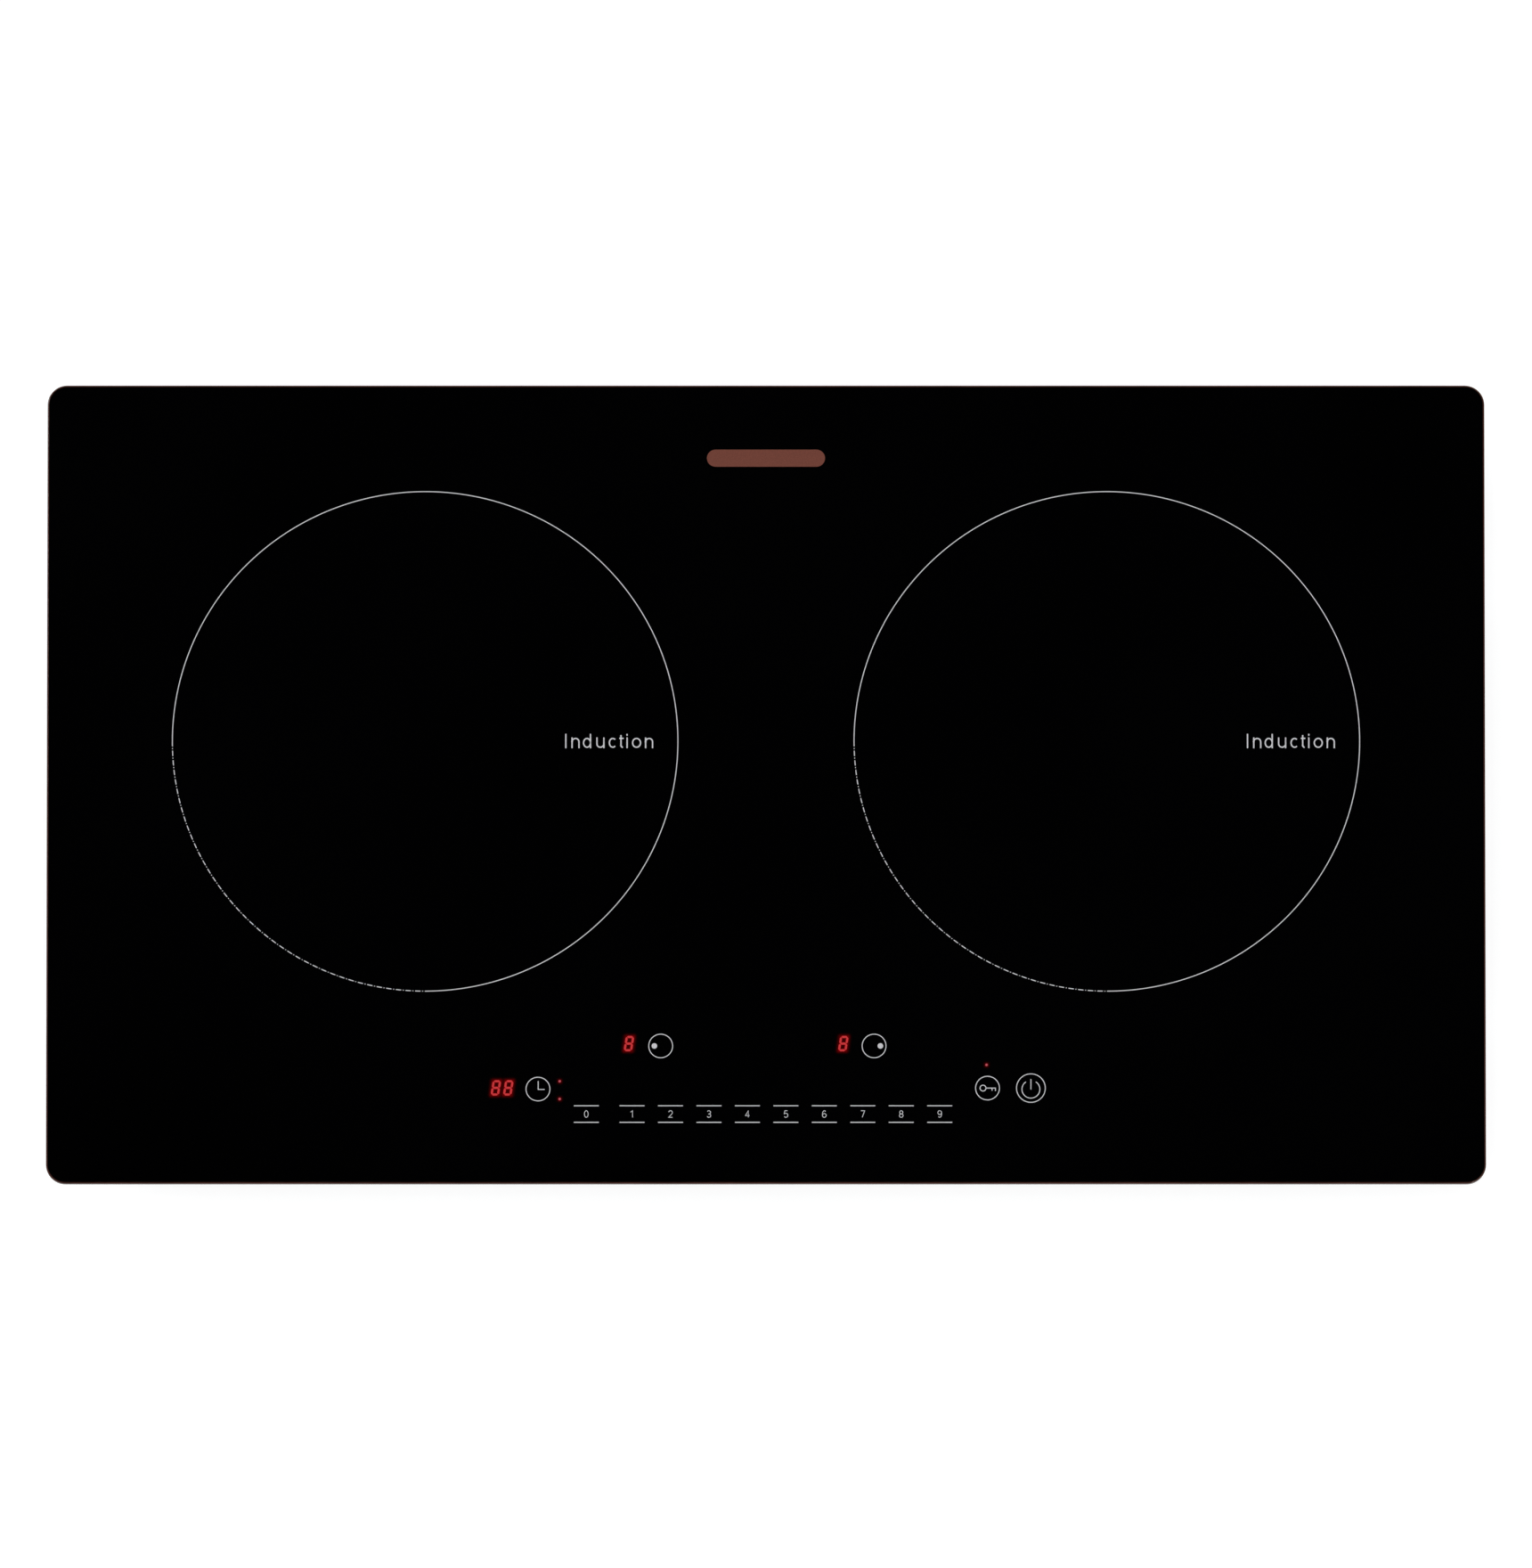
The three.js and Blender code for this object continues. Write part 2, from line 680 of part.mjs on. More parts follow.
function terminalBlock() {
  const { halfX, front, rear, height, poles, edge, well, wellDepth } = BLOCK;
  const bottom = TRAY.bottom + TRAY.sheet + GAP;
  const top = bottom + height;
  const wells = [];
  const pitch = (2 * halfX - 2 * edge) / poles;
  for (let i = 0; i < poles; i++) {
    const x = -halfX + edge + (i + 0.5) * pitch;
    wells.push(cylinder(well, top - wellDepth, top + PAST, x, (front + rear) / 2, WELL_FACETS));
  }
  return cut(box(-halfX, front, bottom, halfX, rear, top), ...wells);
}

// ---------------------------------------------------------------- fixing to the worktop
// Drawn for the right-hand wall, centred on Y = 0. The slot lets the jaw rise under the worktop.
function worktopBracket() {
  const { width, sheet, jawTop, jaw, screwZ, travel, slot, margin } = BRACKET;
  const x0 = TRAY.halfX + GAP;
  const x1 = x0 + sheet;
  const half = width / 2;
  const plateTop = screwZ + slot / 2 + margin;
  const low = screwZ - travel;
  return cut(
    join(
      box(x0, -half, jawTop - sheet, x1, half, plateTop),
      box(x0, -half, jawTop - sheet, x0 + jaw, half, jawTop),
    ),
    box(x0 - PAST, -slot / 2, low, x1 + PAST, slot / 2, screwZ),
    rod(slot / 2, x0 - PAST, x1 + PAST, "x", 0, low, HOLE_FACETS),
    rod(slot / 2, x0 - PAST, x1 + PAST, "x", 0, screwZ, HOLE_FACETS),
  );
}

function bracketScrew() {
  const { shaft, head, headThick, reach, recess, crossLong, crossShort } = SCREW;
  const z = BRACKET.screwZ;
  const seat = TRAY.halfX + 2 * GAP + BRACKET.sheet;
  const [deep, clear] = [seat + headThick - recess, seat + headThick + PAST];
  return cut(
    join(
      rod(shaft, TRAY.halfX - reach, seat + BITE, "x", 0, z, HOLE_FACETS),
      rod(head, seat, seat + headThick, "x", 0, z, SCREW_FACETS),
    ),
    box(deep, -crossLong, z - crossShort, clear, crossLong, z + crossShort),
    box(deep, -crossShort, z - crossLong, clear, crossShort, z + crossLong),
  );
}

// ---------------------------------------------------------------- wiring, drawn for the right-hand side
const COIL_LEAD_Y = ZONE.y - DECK.half; // in front of the deck's edge
const FAN_LEAD = { x: FAN.x - 26, y: FAN.y - FAN.side / 2 }; // where it leaves the fan's frame
const LEADS = {
  coil: {
    radius: 1.6,
    steps: 16,
    points: [
      [ZONE.x, ZONE.y - CARRIER.outer - 0.5, 51],
      [ZONE.x, COIL_LEAD_Y - 3, 47],
      [ZONE.x, COIL_LEAD_Y - 4.5, 32],
      [ZONE.x, COIL_LEAD_Y - 3, 18],
      [ZONE.x, BOARD.y - BOARD.halfY + 12, boardTop + 1.7],
    ],
  },
  fan: {
    radius: 1.2,
    steps: 10,
    points: [
      [FAN_LEAD.x, FAN_LEAD.y - 0.3, 22],
      [FAN_LEAD.x, FAN_LEAD.y - 4, 22],
      [FAN_LEAD.x, FAN_LEAD.y - 7, 18],
      [FAN_LEAD.x, BOARD.y + BOARD.halfY - 4, boardTop + 1.3],
    ],
  },
  power: {
    radius: 2,
    steps: 18,
    points: [
      [12, BLOCK.front - 0.5, 17],
      [12, BLOCK.front - 5, 17],
      [14, BLOCK.front - 14, 12],
      [20, 80, 9.6],
      [50, 30, 9.6],
      [80, 14, 12],
      [94, 10, 17.5],
      [BOARD.x - BOARD.halfX + 10, 8, boardTop + 2.1],
    ],
  },
};

function lead(kind, sign) {
  const { radius, steps, points } = LEADS[kind];
  return tube(points.map(([x, y, z]) => [sign * x, y, z]), radius, steps);
}

// ---------------------------------------------------------------- assembly
add("glass_panel", glassPanel(), FINISH.glass);
add("rim_seal", rimSeal(), FINISH.rubber);
add("silicone_bead", siliconeBead(), FINISH.silicone);
add("base_tray", baseTray(), FINISH.steel);

for (const { name, sign } of SIDES) {
  const zone = new THREE.Group();
  zone.position.set(sign * ZONE.x, ZONE.y, 0);
  cooktop.add(zone);
  add(`${name}_coil_carrier`, coilCarrier(), FINISH.plastic, zone);
  add(`${name}_litz_coil`, coilWinding(), FINISH.copper, zone);
  add(`${name}_mica_sheet`, micaSheet(), FINISH.mica, zone);
  add(`${name}_temperature_sensor`, temperatureSensor(), FINISH.cream, zone);
  add(`${name}_coil_deck`, coilDeck(), FINISH.aluminium, zone);
  for (let i = 0; i < SPRING.count; i++) {
    const spring = add(`${name}_coil_spring_${i + 1}`, coilSpring(), FINISH.spring, zone);
    spring.position.set(SPRING.ring * Math.cos(springAngle(i)), SPRING.ring * Math.sin(springAngle(i)), 0);
  }

  const fan = new THREE.Group();
  fan.position.set(sign * FAN.x, FAN.y, 0);
  cooktop.add(fan);
  add(`${name}_fan_frame`, fanFrame(), FINISH.plastic, fan);
  add(`${name}_fan_impeller`, fanImpeller(), FINISH.plastic, fan);

  add(`${name}_power_board`, powerBoard(), FINISH.board).position.set(sign * BOARD.x, BOARD.y, 0);
  add(`${name}_heat_sink`, heatSink(), FINISH.aluminium).position.set(sign * SINK.x, SINK.y, 0);
  add(`${name}_power_transistor`, powerTransistor(), FINISH.plastic).position.set(sign * SINK.x, SINK.y, 0);
  add(`${name}_capacitor`, filterCapacitor(), FINISH.cream).position.set(sign * CAPACITOR.x, CAPACITOR.y, 0);
  add(`${name}_choke`, choke(), FINISH.copper).position.set(sign * CHOKE.x, CHOKE.y, 0);
  add(`${name}_zone_display`, display(ZONE_DIGIT[name], ZONE_DIGIT.y, ZONE_DIGIT.width), FINISH.display);
  for (const kind of ["coil", "fan", "power"])
    add(`${name}_${kind}_lead`, lead(kind, sign), FINISH.insulation);

  for (const end of ENDS) {
    add(`${name}_${end.name}_foot`, foot(sign * FOOT.x, end.sign * FOOT.y), FINISH.rubber);
    const fixing = new THREE.Group();
    fixing.position.set(0, end.sign * BRACKET.y, 0);
    fixing.rotation.z = sign > 0 ? 0 : Math.PI;
    cooktop.add(fixing);
    add(`${name}_${end.name}_bracket`, worktopBracket(), FINISH.steel, fixing);
    add(`${name}_${end.name}_bracket_screw`, bracketScrew(), FINISH.spring, fixing);
  }
}

add("control_board", controlBoard(), FINISH.board);
add("control_board_bracket", controlBracket(), FINISH.plastic);
add("timer_display", display(DISPLAY.timerX, DISPLAY.timerY, DISPLAY.timerWidth), FINISH.display);
add("ribbon_cable", ribbonCable(), FINISH.insulation);
add("terminal_block", terminalBlock(), FINISH.cream);
add("cable_gland", cableGland(), FINISH.plastic);

export default cooktop;
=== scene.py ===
# Two-zone drop-in induction cooktop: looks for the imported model. Metres, +X right, +Y rear, +Z up.
import bpy
import bmesh
import json
import math
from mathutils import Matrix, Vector


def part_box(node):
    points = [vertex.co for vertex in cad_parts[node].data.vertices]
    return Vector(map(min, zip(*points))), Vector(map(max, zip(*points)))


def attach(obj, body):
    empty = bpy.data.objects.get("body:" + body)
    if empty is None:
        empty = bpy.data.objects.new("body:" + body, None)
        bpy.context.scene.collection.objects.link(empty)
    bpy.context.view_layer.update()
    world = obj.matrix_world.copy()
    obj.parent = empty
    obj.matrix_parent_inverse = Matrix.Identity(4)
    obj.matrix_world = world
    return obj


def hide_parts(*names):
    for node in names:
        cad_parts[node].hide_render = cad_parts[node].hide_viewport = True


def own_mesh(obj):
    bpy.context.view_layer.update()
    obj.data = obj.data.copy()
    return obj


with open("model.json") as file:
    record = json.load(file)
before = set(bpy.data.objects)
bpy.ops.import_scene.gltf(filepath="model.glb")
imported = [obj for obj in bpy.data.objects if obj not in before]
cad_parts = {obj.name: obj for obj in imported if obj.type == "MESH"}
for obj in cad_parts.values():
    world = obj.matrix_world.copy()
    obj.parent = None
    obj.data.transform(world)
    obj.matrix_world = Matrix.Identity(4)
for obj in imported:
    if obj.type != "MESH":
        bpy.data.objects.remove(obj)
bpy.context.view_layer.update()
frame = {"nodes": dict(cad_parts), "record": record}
NODES = frame["nodes"]
BOX = {name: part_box(name) for name in NODES}
MM = 0.001
SIDES = {"left": -1, "right": 1}
ENDS = {"front": -1, "rear": 1}


def in_mm(points):
    return [tuple(value * MM for value in point) for point in points]


# ------------------------------------------------------------------ measures taken from the frame
GLASS_LOW, GLASS_HIGH = BOX["glass_panel"]
HALF_X, HALF_Y = GLASS_HIGH.x, GLASS_HIGH.y
INK = 0.06 * MM                      # thickness of the printed marks
GLASS_TOP = GLASS_HIGH.z - INK       # the marks stand on this and end at the CAD model's top


def centre_of(name):
    """The middle of a node's box, as plain numbers."""
    return [(a + b) / 2 for a, b in zip(*BOX[name])]


def middle(name):
    return Vector(centre_of(name))


ZONE_X, ZONE_Y, _ = centre_of("right_mica_sheet")


# ------------------------------------------------------------------ node materials
def add_node(tree, kind, source, target, values):
    """A new shader node with its input values, fed by source at the target input."""
    made = tree.nodes.new(f"ShaderNode{kind}")
    for name, value in values.items():
        made.inputs[name].default_value = value
    tree.links.new(source, made.inputs[target])
    return made


def map_range(tree, source, low, high, source_low=0.3, source_high=0.7):
    values = {"From Min": source_low, "From Max": source_high, "To Min": low, "To Max": high}
    return add_node(tree, "MapRange", source, "Value", values)


class Look:
    """A Principled material whose textures lie in the part's own coordinates."""

    def __init__(self, name, base, rough, metal=0.0, ior=1.5):
        self.material = bpy.data.materials.new(name)
        self.material.use_nodes = True
        self.tree = self.material.node_tree
        self.base = base
        self.set({"Base Color": (*base, 1), "Roughness": rough, "Metallic": metal, "IOR": ior})
        self.place = self.tree.nodes.new("ShaderNodeTexCoord").outputs["Object"]

    def set(self, values):
        for name, value in values.items():
            self.tree.nodes["Principled BSDF"].inputs[name].default_value = value
        return self

    def drive(self, socket, source):
        self.tree.links.new(source, self.tree.nodes["Principled BSDF"].inputs[socket])
        return self

    def noise(self, scale, detail=4.0, stretch=None, rough=0.5):
        place = self.place
        if stretch:
            place = add_node(self.tree, "Mapping", place, "Vector", {"Scale": stretch}).outputs["Vector"]
        values = {"Scale": scale, "Detail": detail, "Roughness": rough}
        return add_node(self.tree, "TexNoise", place, "Vector", values).outputs["Fac"]

    def cells(self, output, scale):
        return add_node(self.tree, "TexVoronoi", self.place, "Vector", {"Scale": scale}).outputs[output]

    def tint(self, fac, low, high, *source_range):
        """The base colour varies between two shades of it, by fac."""
        node = self.tree.nodes.new("ShaderNodeMix")
        node.data_type = "RGBA"
        for socket, shade in (("A", low), ("B", high)):
            node.inputs[socket].default_value = (*[c * shade for c in self.base], 1)
        share = map_range(self.tree, fac, 0, 1, *source_range).outputs["Result"]
        self.tree.links.new(share, node.inputs["Factor"])
        return self.drive("Base Color", node.outputs["Result"])

    def roughen(self, fac, low, high):
        return self.drive("Roughness", map_range(self.tree, fac, low, high).outputs["Result"])

    def bump(self, fac, distance, strength=1.0):
        values = {"Strength": strength, "Distance": distance}
        return self.drive("Normal", add_node(self.tree, "Bump", fac, "Height", values).outputs["Normal"])

    def glow(self, colour, strength):
        return self.set({"Emission Color": (*colour, 1), "Emission Strength": strength})


def surface(name, base, rough, tint, roughen=None, bump=None, metal=0.0, ior=1.5):
    """A look whose shade, roughness and relief (in millimetres) each follow a texture.

    A texture is (scale, detail, stretch, roughness) for noise, or ("Color" or "Distance", scale) for cells.
    """
    look = Look(name, base, rough, metal, ior)

    def texture(first, *more):
        return look.cells(first, *more) if isinstance(first, str) else look.noise(first, *more)

    look.tint(texture(*tint[0]), *tint[1:])
    if roughen:
        look.roughen(texture(*roughen[0]), *roughen[1:])
    if bump:
        look.bump(texture(*bump[0]), bump[1] * MM, *bump[2:])
    return look


def rubber(name, shade, grain=2400):
    return surface(name, (shade, shade, shade * 1.03), 0.78, ((90,), 0.8, 1.25), ((400,), 0.68, 0.88),
                   ((grain, 3), 0.05))


def moulded(name, base, rough=0.5):
    return surface(name, base, rough, ((120,), 0.9, 1.12), ((600,), rough - 0.08, rough + 0.1),
                   (("Distance", 1500), 0.03, 0.6))


def lit_halo():
    """Light scattered in the glass round a lit segment. The share of it is stored at each vertex."""
    look = Look("lit_halo", (0.0004, 0.0004, 0.0005), 0.05, ior=1.52)
    share = look.tree.nodes.new("ShaderNodeAttribute")
    share.attribute_name = "halo"
    look.drive("Emission Strength", share.outputs["Fac"])
    look.set({"Emission Color": (0.17, 0.0, 0.001, 1)})
    return look.roughen(look.noise(60, 6, rough=0.7), 0.03, 0.06)


GLASS_RIPPLE = (60, 6, None, 0.7)
MILL_GRAIN = (1400, 3, (1, 0.03, 1))
LOOKS = {
    "glass": surface("black_glass", (0.0004, 0.0004, 0.0005), 0.04, ((9,), 0.7, 1.3),
                     (GLASS_RIPPLE, 0.025, 0.06), ((14, 1), 0.004), ior=1.52),
    "edge": surface("polished_glass_edge", (0.050, 0.017, 0.012), 0.16, ((40,), 0.7, 1.25),
                    bump=((900, 3, (0.1, 0.1, 1)), 0.01), ior=1.52),
    "ink": surface("ceramic_ink", (0.535, 0.535, 0.558), 0.55, ((1500, 3), 0.93, 1.03),
                   bump=((4000, 2), 0.008)),
    "copper_ink": surface("copper_ink", (0.23, 0.070, 0.047), 0.42, ((2600,), 0.75, 1.2),
                          bump=((3500, 3), 0.012), metal=0.35),
    "tray_steel": surface("galvanised_steel", (0.58, 0.60, 0.62), 0.38,
                          (("Color", 150), 0.78, 1.08, 0.1, 0.9), ((260, 5), 0.28, 0.5), ((700,), 0.02), 1.0),
    "zinc_steel": surface("zinc_plate", (0.66, 0.68, 0.72), 0.34, ((220,), 0.86, 1.08),
                          ((900, 4, (1, 1, 0.2)), 0.28, 0.44), ((1800, 3, (1, 1, 0.15)), 0.012), 0.8),
    "spring_steel": surface("spring_wire", (0.50, 0.51, 0.54), 0.27, ((600,), 0.8, 1.1),
                            ((1500,), 0.2, 0.38), metal=1.0),
    "aluminium_sheet": surface("mill_aluminium", (0.76, 0.77, 0.78), 0.36, (MILL_GRAIN, 0.93, 1.04),
                               (MILL_GRAIN, 0.34, 0.44), (MILL_GRAIN, 0.004), 1.0),
    "seal_rubber": rubber("epdm_strip", 0.022),
    "foot_rubber": rubber("foot_rubber", 0.028, 1800),
    "silicone": rubber("silicone_bond", 0.05, 900),
    "black_plastic": moulded("black_plastic", (0.018, 0.018, 0.02)),
    "cream_plastic": moulded("cream_plastic", (0.62, 0.57, 0.45), 0.42),
    "copper_wire": surface("enamelled_copper", (0.62, 0.24, 0.11), 0.34, ((1600, 3, (1, 1, 0.4)), 0.6, 1.25),
                           ((900,), 0.26, 0.5), ((2600, 2), 0.08), 0.85),
    "mica": surface("mica", (0.50, 0.43, 0.30), 0.5, (("Color", 420), 0.7, 1.15, 0.1, 0.9),
                    (("Distance", 420), 0.35, 0.65), ((800,), 0.03)),
    "ferrite": surface("ferrite", (0.035, 0.034, 0.036), 0.62, ((700,), 0.7, 1.4), bump=((1300,), 0.05)),
    "ceramic_sensor": surface("sensor_ceramic", (0.78, 0.76, 0.70), 0.45, ((500,), 0.9, 1.05),
                              bump=((1500,), 0.03)),
    "circuit_board": surface("solder_mask", (0.012, 0.105, 0.04), 0.33,
                             (("Distance", 260), 0.65, 1.5, 0.05, 0.6), ((300,), 0.25, 0.45),
                             (("Distance", 260), 0.04, 0.5)),
    "wire_insulation": surface("wire_cover", (0.34, 0.03, 0.025), 0.46, ((300,), 0.85, 1.15),
                               ((800,), 0.4, 0.6), ((1800,), 0.03)),
    "led_display": surface("display_body", (0.05, 0.012, 0.012), 0.3, ((500,), 0.8, 1.3),
                           ((900,), 0.22, 0.4)),
    "segment": surface("lit_segment", (0.25, 0.012, 0.014), 0.4, ((900,), 0.9, 1.1)).glow(
        (0.62, 0.023, 0.027), 0.50),
    "lamp": surface("lit_lamp", (0.10, 0.02, 0.026), 0.4, ((900,), 0.9, 1.1)).glow((0.34, 0.045, 0.06), 1.0),
    "halo": lit_halo(),
}


# ------------------------------------------------------------------ making pieces
def in_scene(mesh):
    made = bpy.data.objects.new(mesh.name, mesh)
    bpy.context.scene.collection.objects.link(made)
    return made


def loose(solid):
    """An object with the solid's points and faces, not yet a piece of the model: a cutter or a blank."""
    mesh = bpy.data.meshes.new("blank")
    mesh.from_pydata([tuple(v) for v in solid[0]], [], solid[1])
    work = bmesh.new()
    work.from_mesh(mesh)
    bmesh.ops.recalc_face_normals(work, faces=work.faces)
    work.to_mesh(mesh)
    work.free()
    return in_scene(mesh)


def named(made, name, look, body="housing", slot=None, stands_for=(), smooth=40):
    """Turns a loose object into a piece with its material, body and the nodes that it replaces. The slot is
    not used.

    Shading is smooth, with hard edges where faces meet at more than smooth degrees, or flat if it is None.
    """
    made.name = name
    mesh = made.data
    mesh.name = name
    mesh.materials.clear()
    mesh.materials.append(LOOKS[look].material)
    if smooth is not None:
        mesh.polygons.foreach_set("use_smooth", [True] * len(mesh.polygons))
        mesh.set_sharp_from_angle(angle=math.radians(smooth))
    if stands_for:
        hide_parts(*stands_for)
    slot or look
    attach(made, body)
    return made


def piece(name, solid, look, **kind):
    return named(loose(solid), name, look, **kind)


def angles(start, end, steps):
    return [math.radians(start + (end - start) * i / steps) for i in range(steps + 1)]


def rounded_loop(half_x, half_y, radius, z, steps=8, centre=(0, 0)):
    """Points round a rectangle with round corners, anticlockwise from the front right corner."""
    points = []
    for quarter, (sx, sy) in enumerate(((1, -1), (1, 1), (-1, 1), (-1, -1))):
        cx = centre[0] + sx * (half_x - radius)
        cy = centre[1] + sy * (half_y - radius)
        for i in range(steps + 1):
            angle = math.pi / 2 * (quarter - 1 + i / steps)
            points.append((cx + radius * math.cos(angle), cy + radius * math.sin(angle), z))
    return [p for i, p in enumerate(points) if math.dist(p, points[i - 1]) > 1e-8]


def stitched(loops, cap_ends=True):
    """A solid, as vertices and faces: a skin over loops of equal length, closed by caps or on itself."""
    count = len(loops[0])
    vertices = [p for loop in loops for p in loop]
    faces = []
    for row in range(len(loops) - cap_ends):
        a = row * count
        b = (row + 1) % len(loops) * count
        for i in range(count):
            j = (i + 1) % count
            faces.append((a + i, a + j, b + j, b + i))
    if cap_ends:
        faces.append(tuple(reversed(range(count))))
        last = (len(loops) - 1) * count
        faces.append(tuple(last + i for i in range(count)))
    return vertices, faces


def turned(profile, steps, centre, along="z"):
    """A solid whose profile of (radius, distance) points is turned about an axis through centre."""
    loops = []
    for radius, distance in profile:
        loop = []
        for i in range(steps):
            angle = 2 * math.pi * i / steps
            u, v = radius * math.cos(angle), radius * math.sin(angle)
            offset = {"x": (distance, u, v), "y": (u, distance, v), "z": (u, v, distance)}[along]
            loop.append(tuple(c + o for c, o in zip(centre, offset)))
        loops.append(loop)
    return stitched(loops)


def together(solids):
    """One solid's vertices and faces from those of several that don't touch."""
    vertices, faces = [], []
    for more_vertices, more_faces in solids:
        start = len(vertices)
        vertices += more_vertices
        faces += [tuple(start + i for i in face) for face in more_faces]
    return vertices, faces


def block(low, high):
    xs, ys, zs = zip(low, high)
    corners = ((xs[0], ys[0]), (xs[1], ys[0]), (xs[1], ys[1]), (xs[0], ys[1]))
    return stitched([[(*corner, z) for corner in corners] for z in zs])


def stadium(centre, half_long, half_wide, low, high, axis="z"):
    """A slot-shaped prism along axis, with round ends across its long axis."""
    loops = []
    for level in (low, high):
        loop = []
        for u, v, _ in rounded_loop(half_long, half_wide, half_wide, 0, 6):
            if axis == "z":
                loop.append((centre[0] + u, centre[1] + v, level))
            elif axis == "y":
                loop.append((centre[0] + u, level, centre[1] + v))
            else:
                loop.append((level, centre[0] - v, centre[1] + u))
        loops.append(loop)
    return stitched(loops)


def modified(solid, kind, **settings):
    """A new loose object: solid with one modifier applied. The old object is removed."""
    step = solid.modifiers.new("step", kind)
    for name, value in settings.items():
        setattr(step, name, value)
    bpy.context.view_layer.update()
    graph = bpy.context.evaluated_depsgraph_get()
    mesh = bpy.data.meshes.new_from_object(solid.evaluated_get(graph), depsgraph=graph)
    bpy.data.objects.remove(solid)
    return in_scene(mesh)


def combined(solid, other, operation="DIFFERENCE"):
    """The object solid cut by, or joined to, the other solid."""
    tool = loose(other)
    made = modified(solid, "BOOLEAN", operation=operation, object=tool, solver="EXACT")
    bpy.data.objects.remove(tool)
    return made


def crossed(solid, centre, axis, half_long, half_short, low, high):
    """The object solid with a cross recess from low to high along axis, x or z."""
    for half_u, half_v in ((half_long, half_short), (half_short, half_long)):
        corners = []
        for sign, level in ((-1, low), (1, high)):
            u, v = centre[0] + sign * half_u, centre[1] + sign * half_v
            corners.append((level, u, v) if axis == "x" else (u, v, level))
        solid = combined(solid, block(*corners))
    return solid


# ------------------------------------------------------------------ glass panel
def glass_panel():
    """The plate, with a bevel that is ground round its top and bottom edges."""
    bevel, corner = 0.8 * MM, 10 * MM
    quarter = angles(0, 90, 4)
    rims = [(bevel * (1 - math.sin(a)), GLASS_LOW.z + bevel * (1 - math.cos(a))) for a in quarter]
    rims += [(bevel * (1 - math.cos(a)), GLASS_TOP - bevel * (1 - math.sin(a))) for a in quarter]
    loops = [rounded_loop(HALF_X - inset, HALF_Y - inset, corner - inset, z, 12) for inset, z in rims]
    plate = piece("glass_plate", stitched(loops), "glass", slot="black_glass", stands_for=["glass_panel"],
                  smooth=50)
    plate.data.materials.append(LOOKS["edge"].material)
    for face in plate.data.polygons:
        face.material_index = 0 if abs(face.normal.z) > 0.99 else 1


# ------------------------------------------------------------------ printed marks
def ribbon(path, width, closed=False):
    """A flat line of ink along a path of (x, y) points, as vertices and faces of a thin closed solid."""
    points = [Vector(p) for p in path]
    count = len(points)
    left, right = [], []
    for i, point in enumerate(points):
        before = points[i - 1] if i or closed else None
        after = points[(i + 1) % count] if i < count - 1 or closed else None
        ways = [w.normalized() for w in (before and point - before, after and after - point) if w]
        across = sum((Vector((-w.y, w.x)) for w in ways), Vector((0, 0))).normalized()
        reach = width / 2 / max(across.dot(Vector((-ways[0].y, ways[0].x))), 0.5)
        left.append(point + across * reach)
        right.append(point - across * reach)
    loops = []
    for side, z in ((right, GLASS_TOP), (left, GLASS_TOP), (left, GLASS_TOP + INK), (right, GLASS_TOP + INK)):
        loops.append([(p.x, p.y, z) for p in side])
    sections = [[loop[i] for loop in loops] for i in range(count)]
    return stitched(sections, cap_ends=not closed)


def disc(centre, radius, steps=24):
    return turned([(radius, GLASS_TOP), (radius, GLASS_TOP + INK)], steps, (*centre, 0))


def arc(centre, radii, start, end, steps=None):
    """Points along an arc, with start and end in degrees and radii a number or (x, y)."""
    rx, ry = radii if isinstance(radii, tuple) else (radii, radii)
    steps = steps or max(4, int(abs(end - start) / 9))
    points = []
    for i in range(steps + 1):
        angle = math.radians(start + (end - start) * i / steps)
        points.append((centre[0] + rx * math.cos(angle), centre[1] + ry * math.sin(angle)))
    return points


def full_turn(centre, radii, steps=48):
    return arc(centre, radii, 0, 360, steps)[:-1]


def printed(name, solids, look="ink"):
    """One piece of several thin solids of ink. Their tops step down, so crossing lines share no surface."""
    stepped = []
    half_way = GLASS_TOP + INK / 2
    for order, (vertices, faces) in enumerate(solids):
        lowered = INK * 0.06 * (order % 8)
        stepped.append(([(x, y, z - lowered if z > half_way else z) for x, y, z in vertices], faces))
    piece(name, together(stepped), look, slot="black_glass", smooth=None)


def written(name, x, y, width, strokes):
    """A printed piece of strokes, given as paths in millimetres with their origin at x, y."""
    solids = []
    for path in strokes:
        closed = math.dist(path[0], path[-1]) < 0.6 and len(path) > 20
        solids.append(ribbon([(x + px * MM, y + py * MM) for px, py in path], width, closed))
    printed(name, solids)


RING = {"radius": 128.3 * MM, "line": 0.45 * MM}
DASH = {"count": 41, "long": 0.55, "dot": 0.09, "dot_at": 0.77}  # the last three are shares of the pitch


def zone_ring(side, sign):
    """The ring round a cooking zone. Its front left quarter is a line of dashes and dots."""
    centre = (sign * ZONE_X, ZONE_Y)
    radius, line = RING["radius"], RING["line"]
    solids = [ribbon(arc(centre, radius, -90, 180, 270), line)]
    pitch = 90 / DASH["count"]
    for i in range(DASH["count"]):
        dash_start = 180 + i * pitch
        solids.append(ribbon(arc(centre, radius, dash_start, dash_start + DASH["long"] * pitch, 4), line))
        dot_start = dash_start + (DASH["dot_at"] - DASH["dot"] / 2) * pitch
        solids.append(ribbon(arc(centre, radius, dot_start, dot_start + DASH["dot"] * pitch, 2), line))
    printed(f"{side}_zone_ring", solids)


# Letters are drawn as centre lines, in millimetres, on a baseline at zero.
X_LINE, CAP, ROUND = 5.5, 7.35, 1.76
ARCH = X_LINE - 0.5 - ROUND


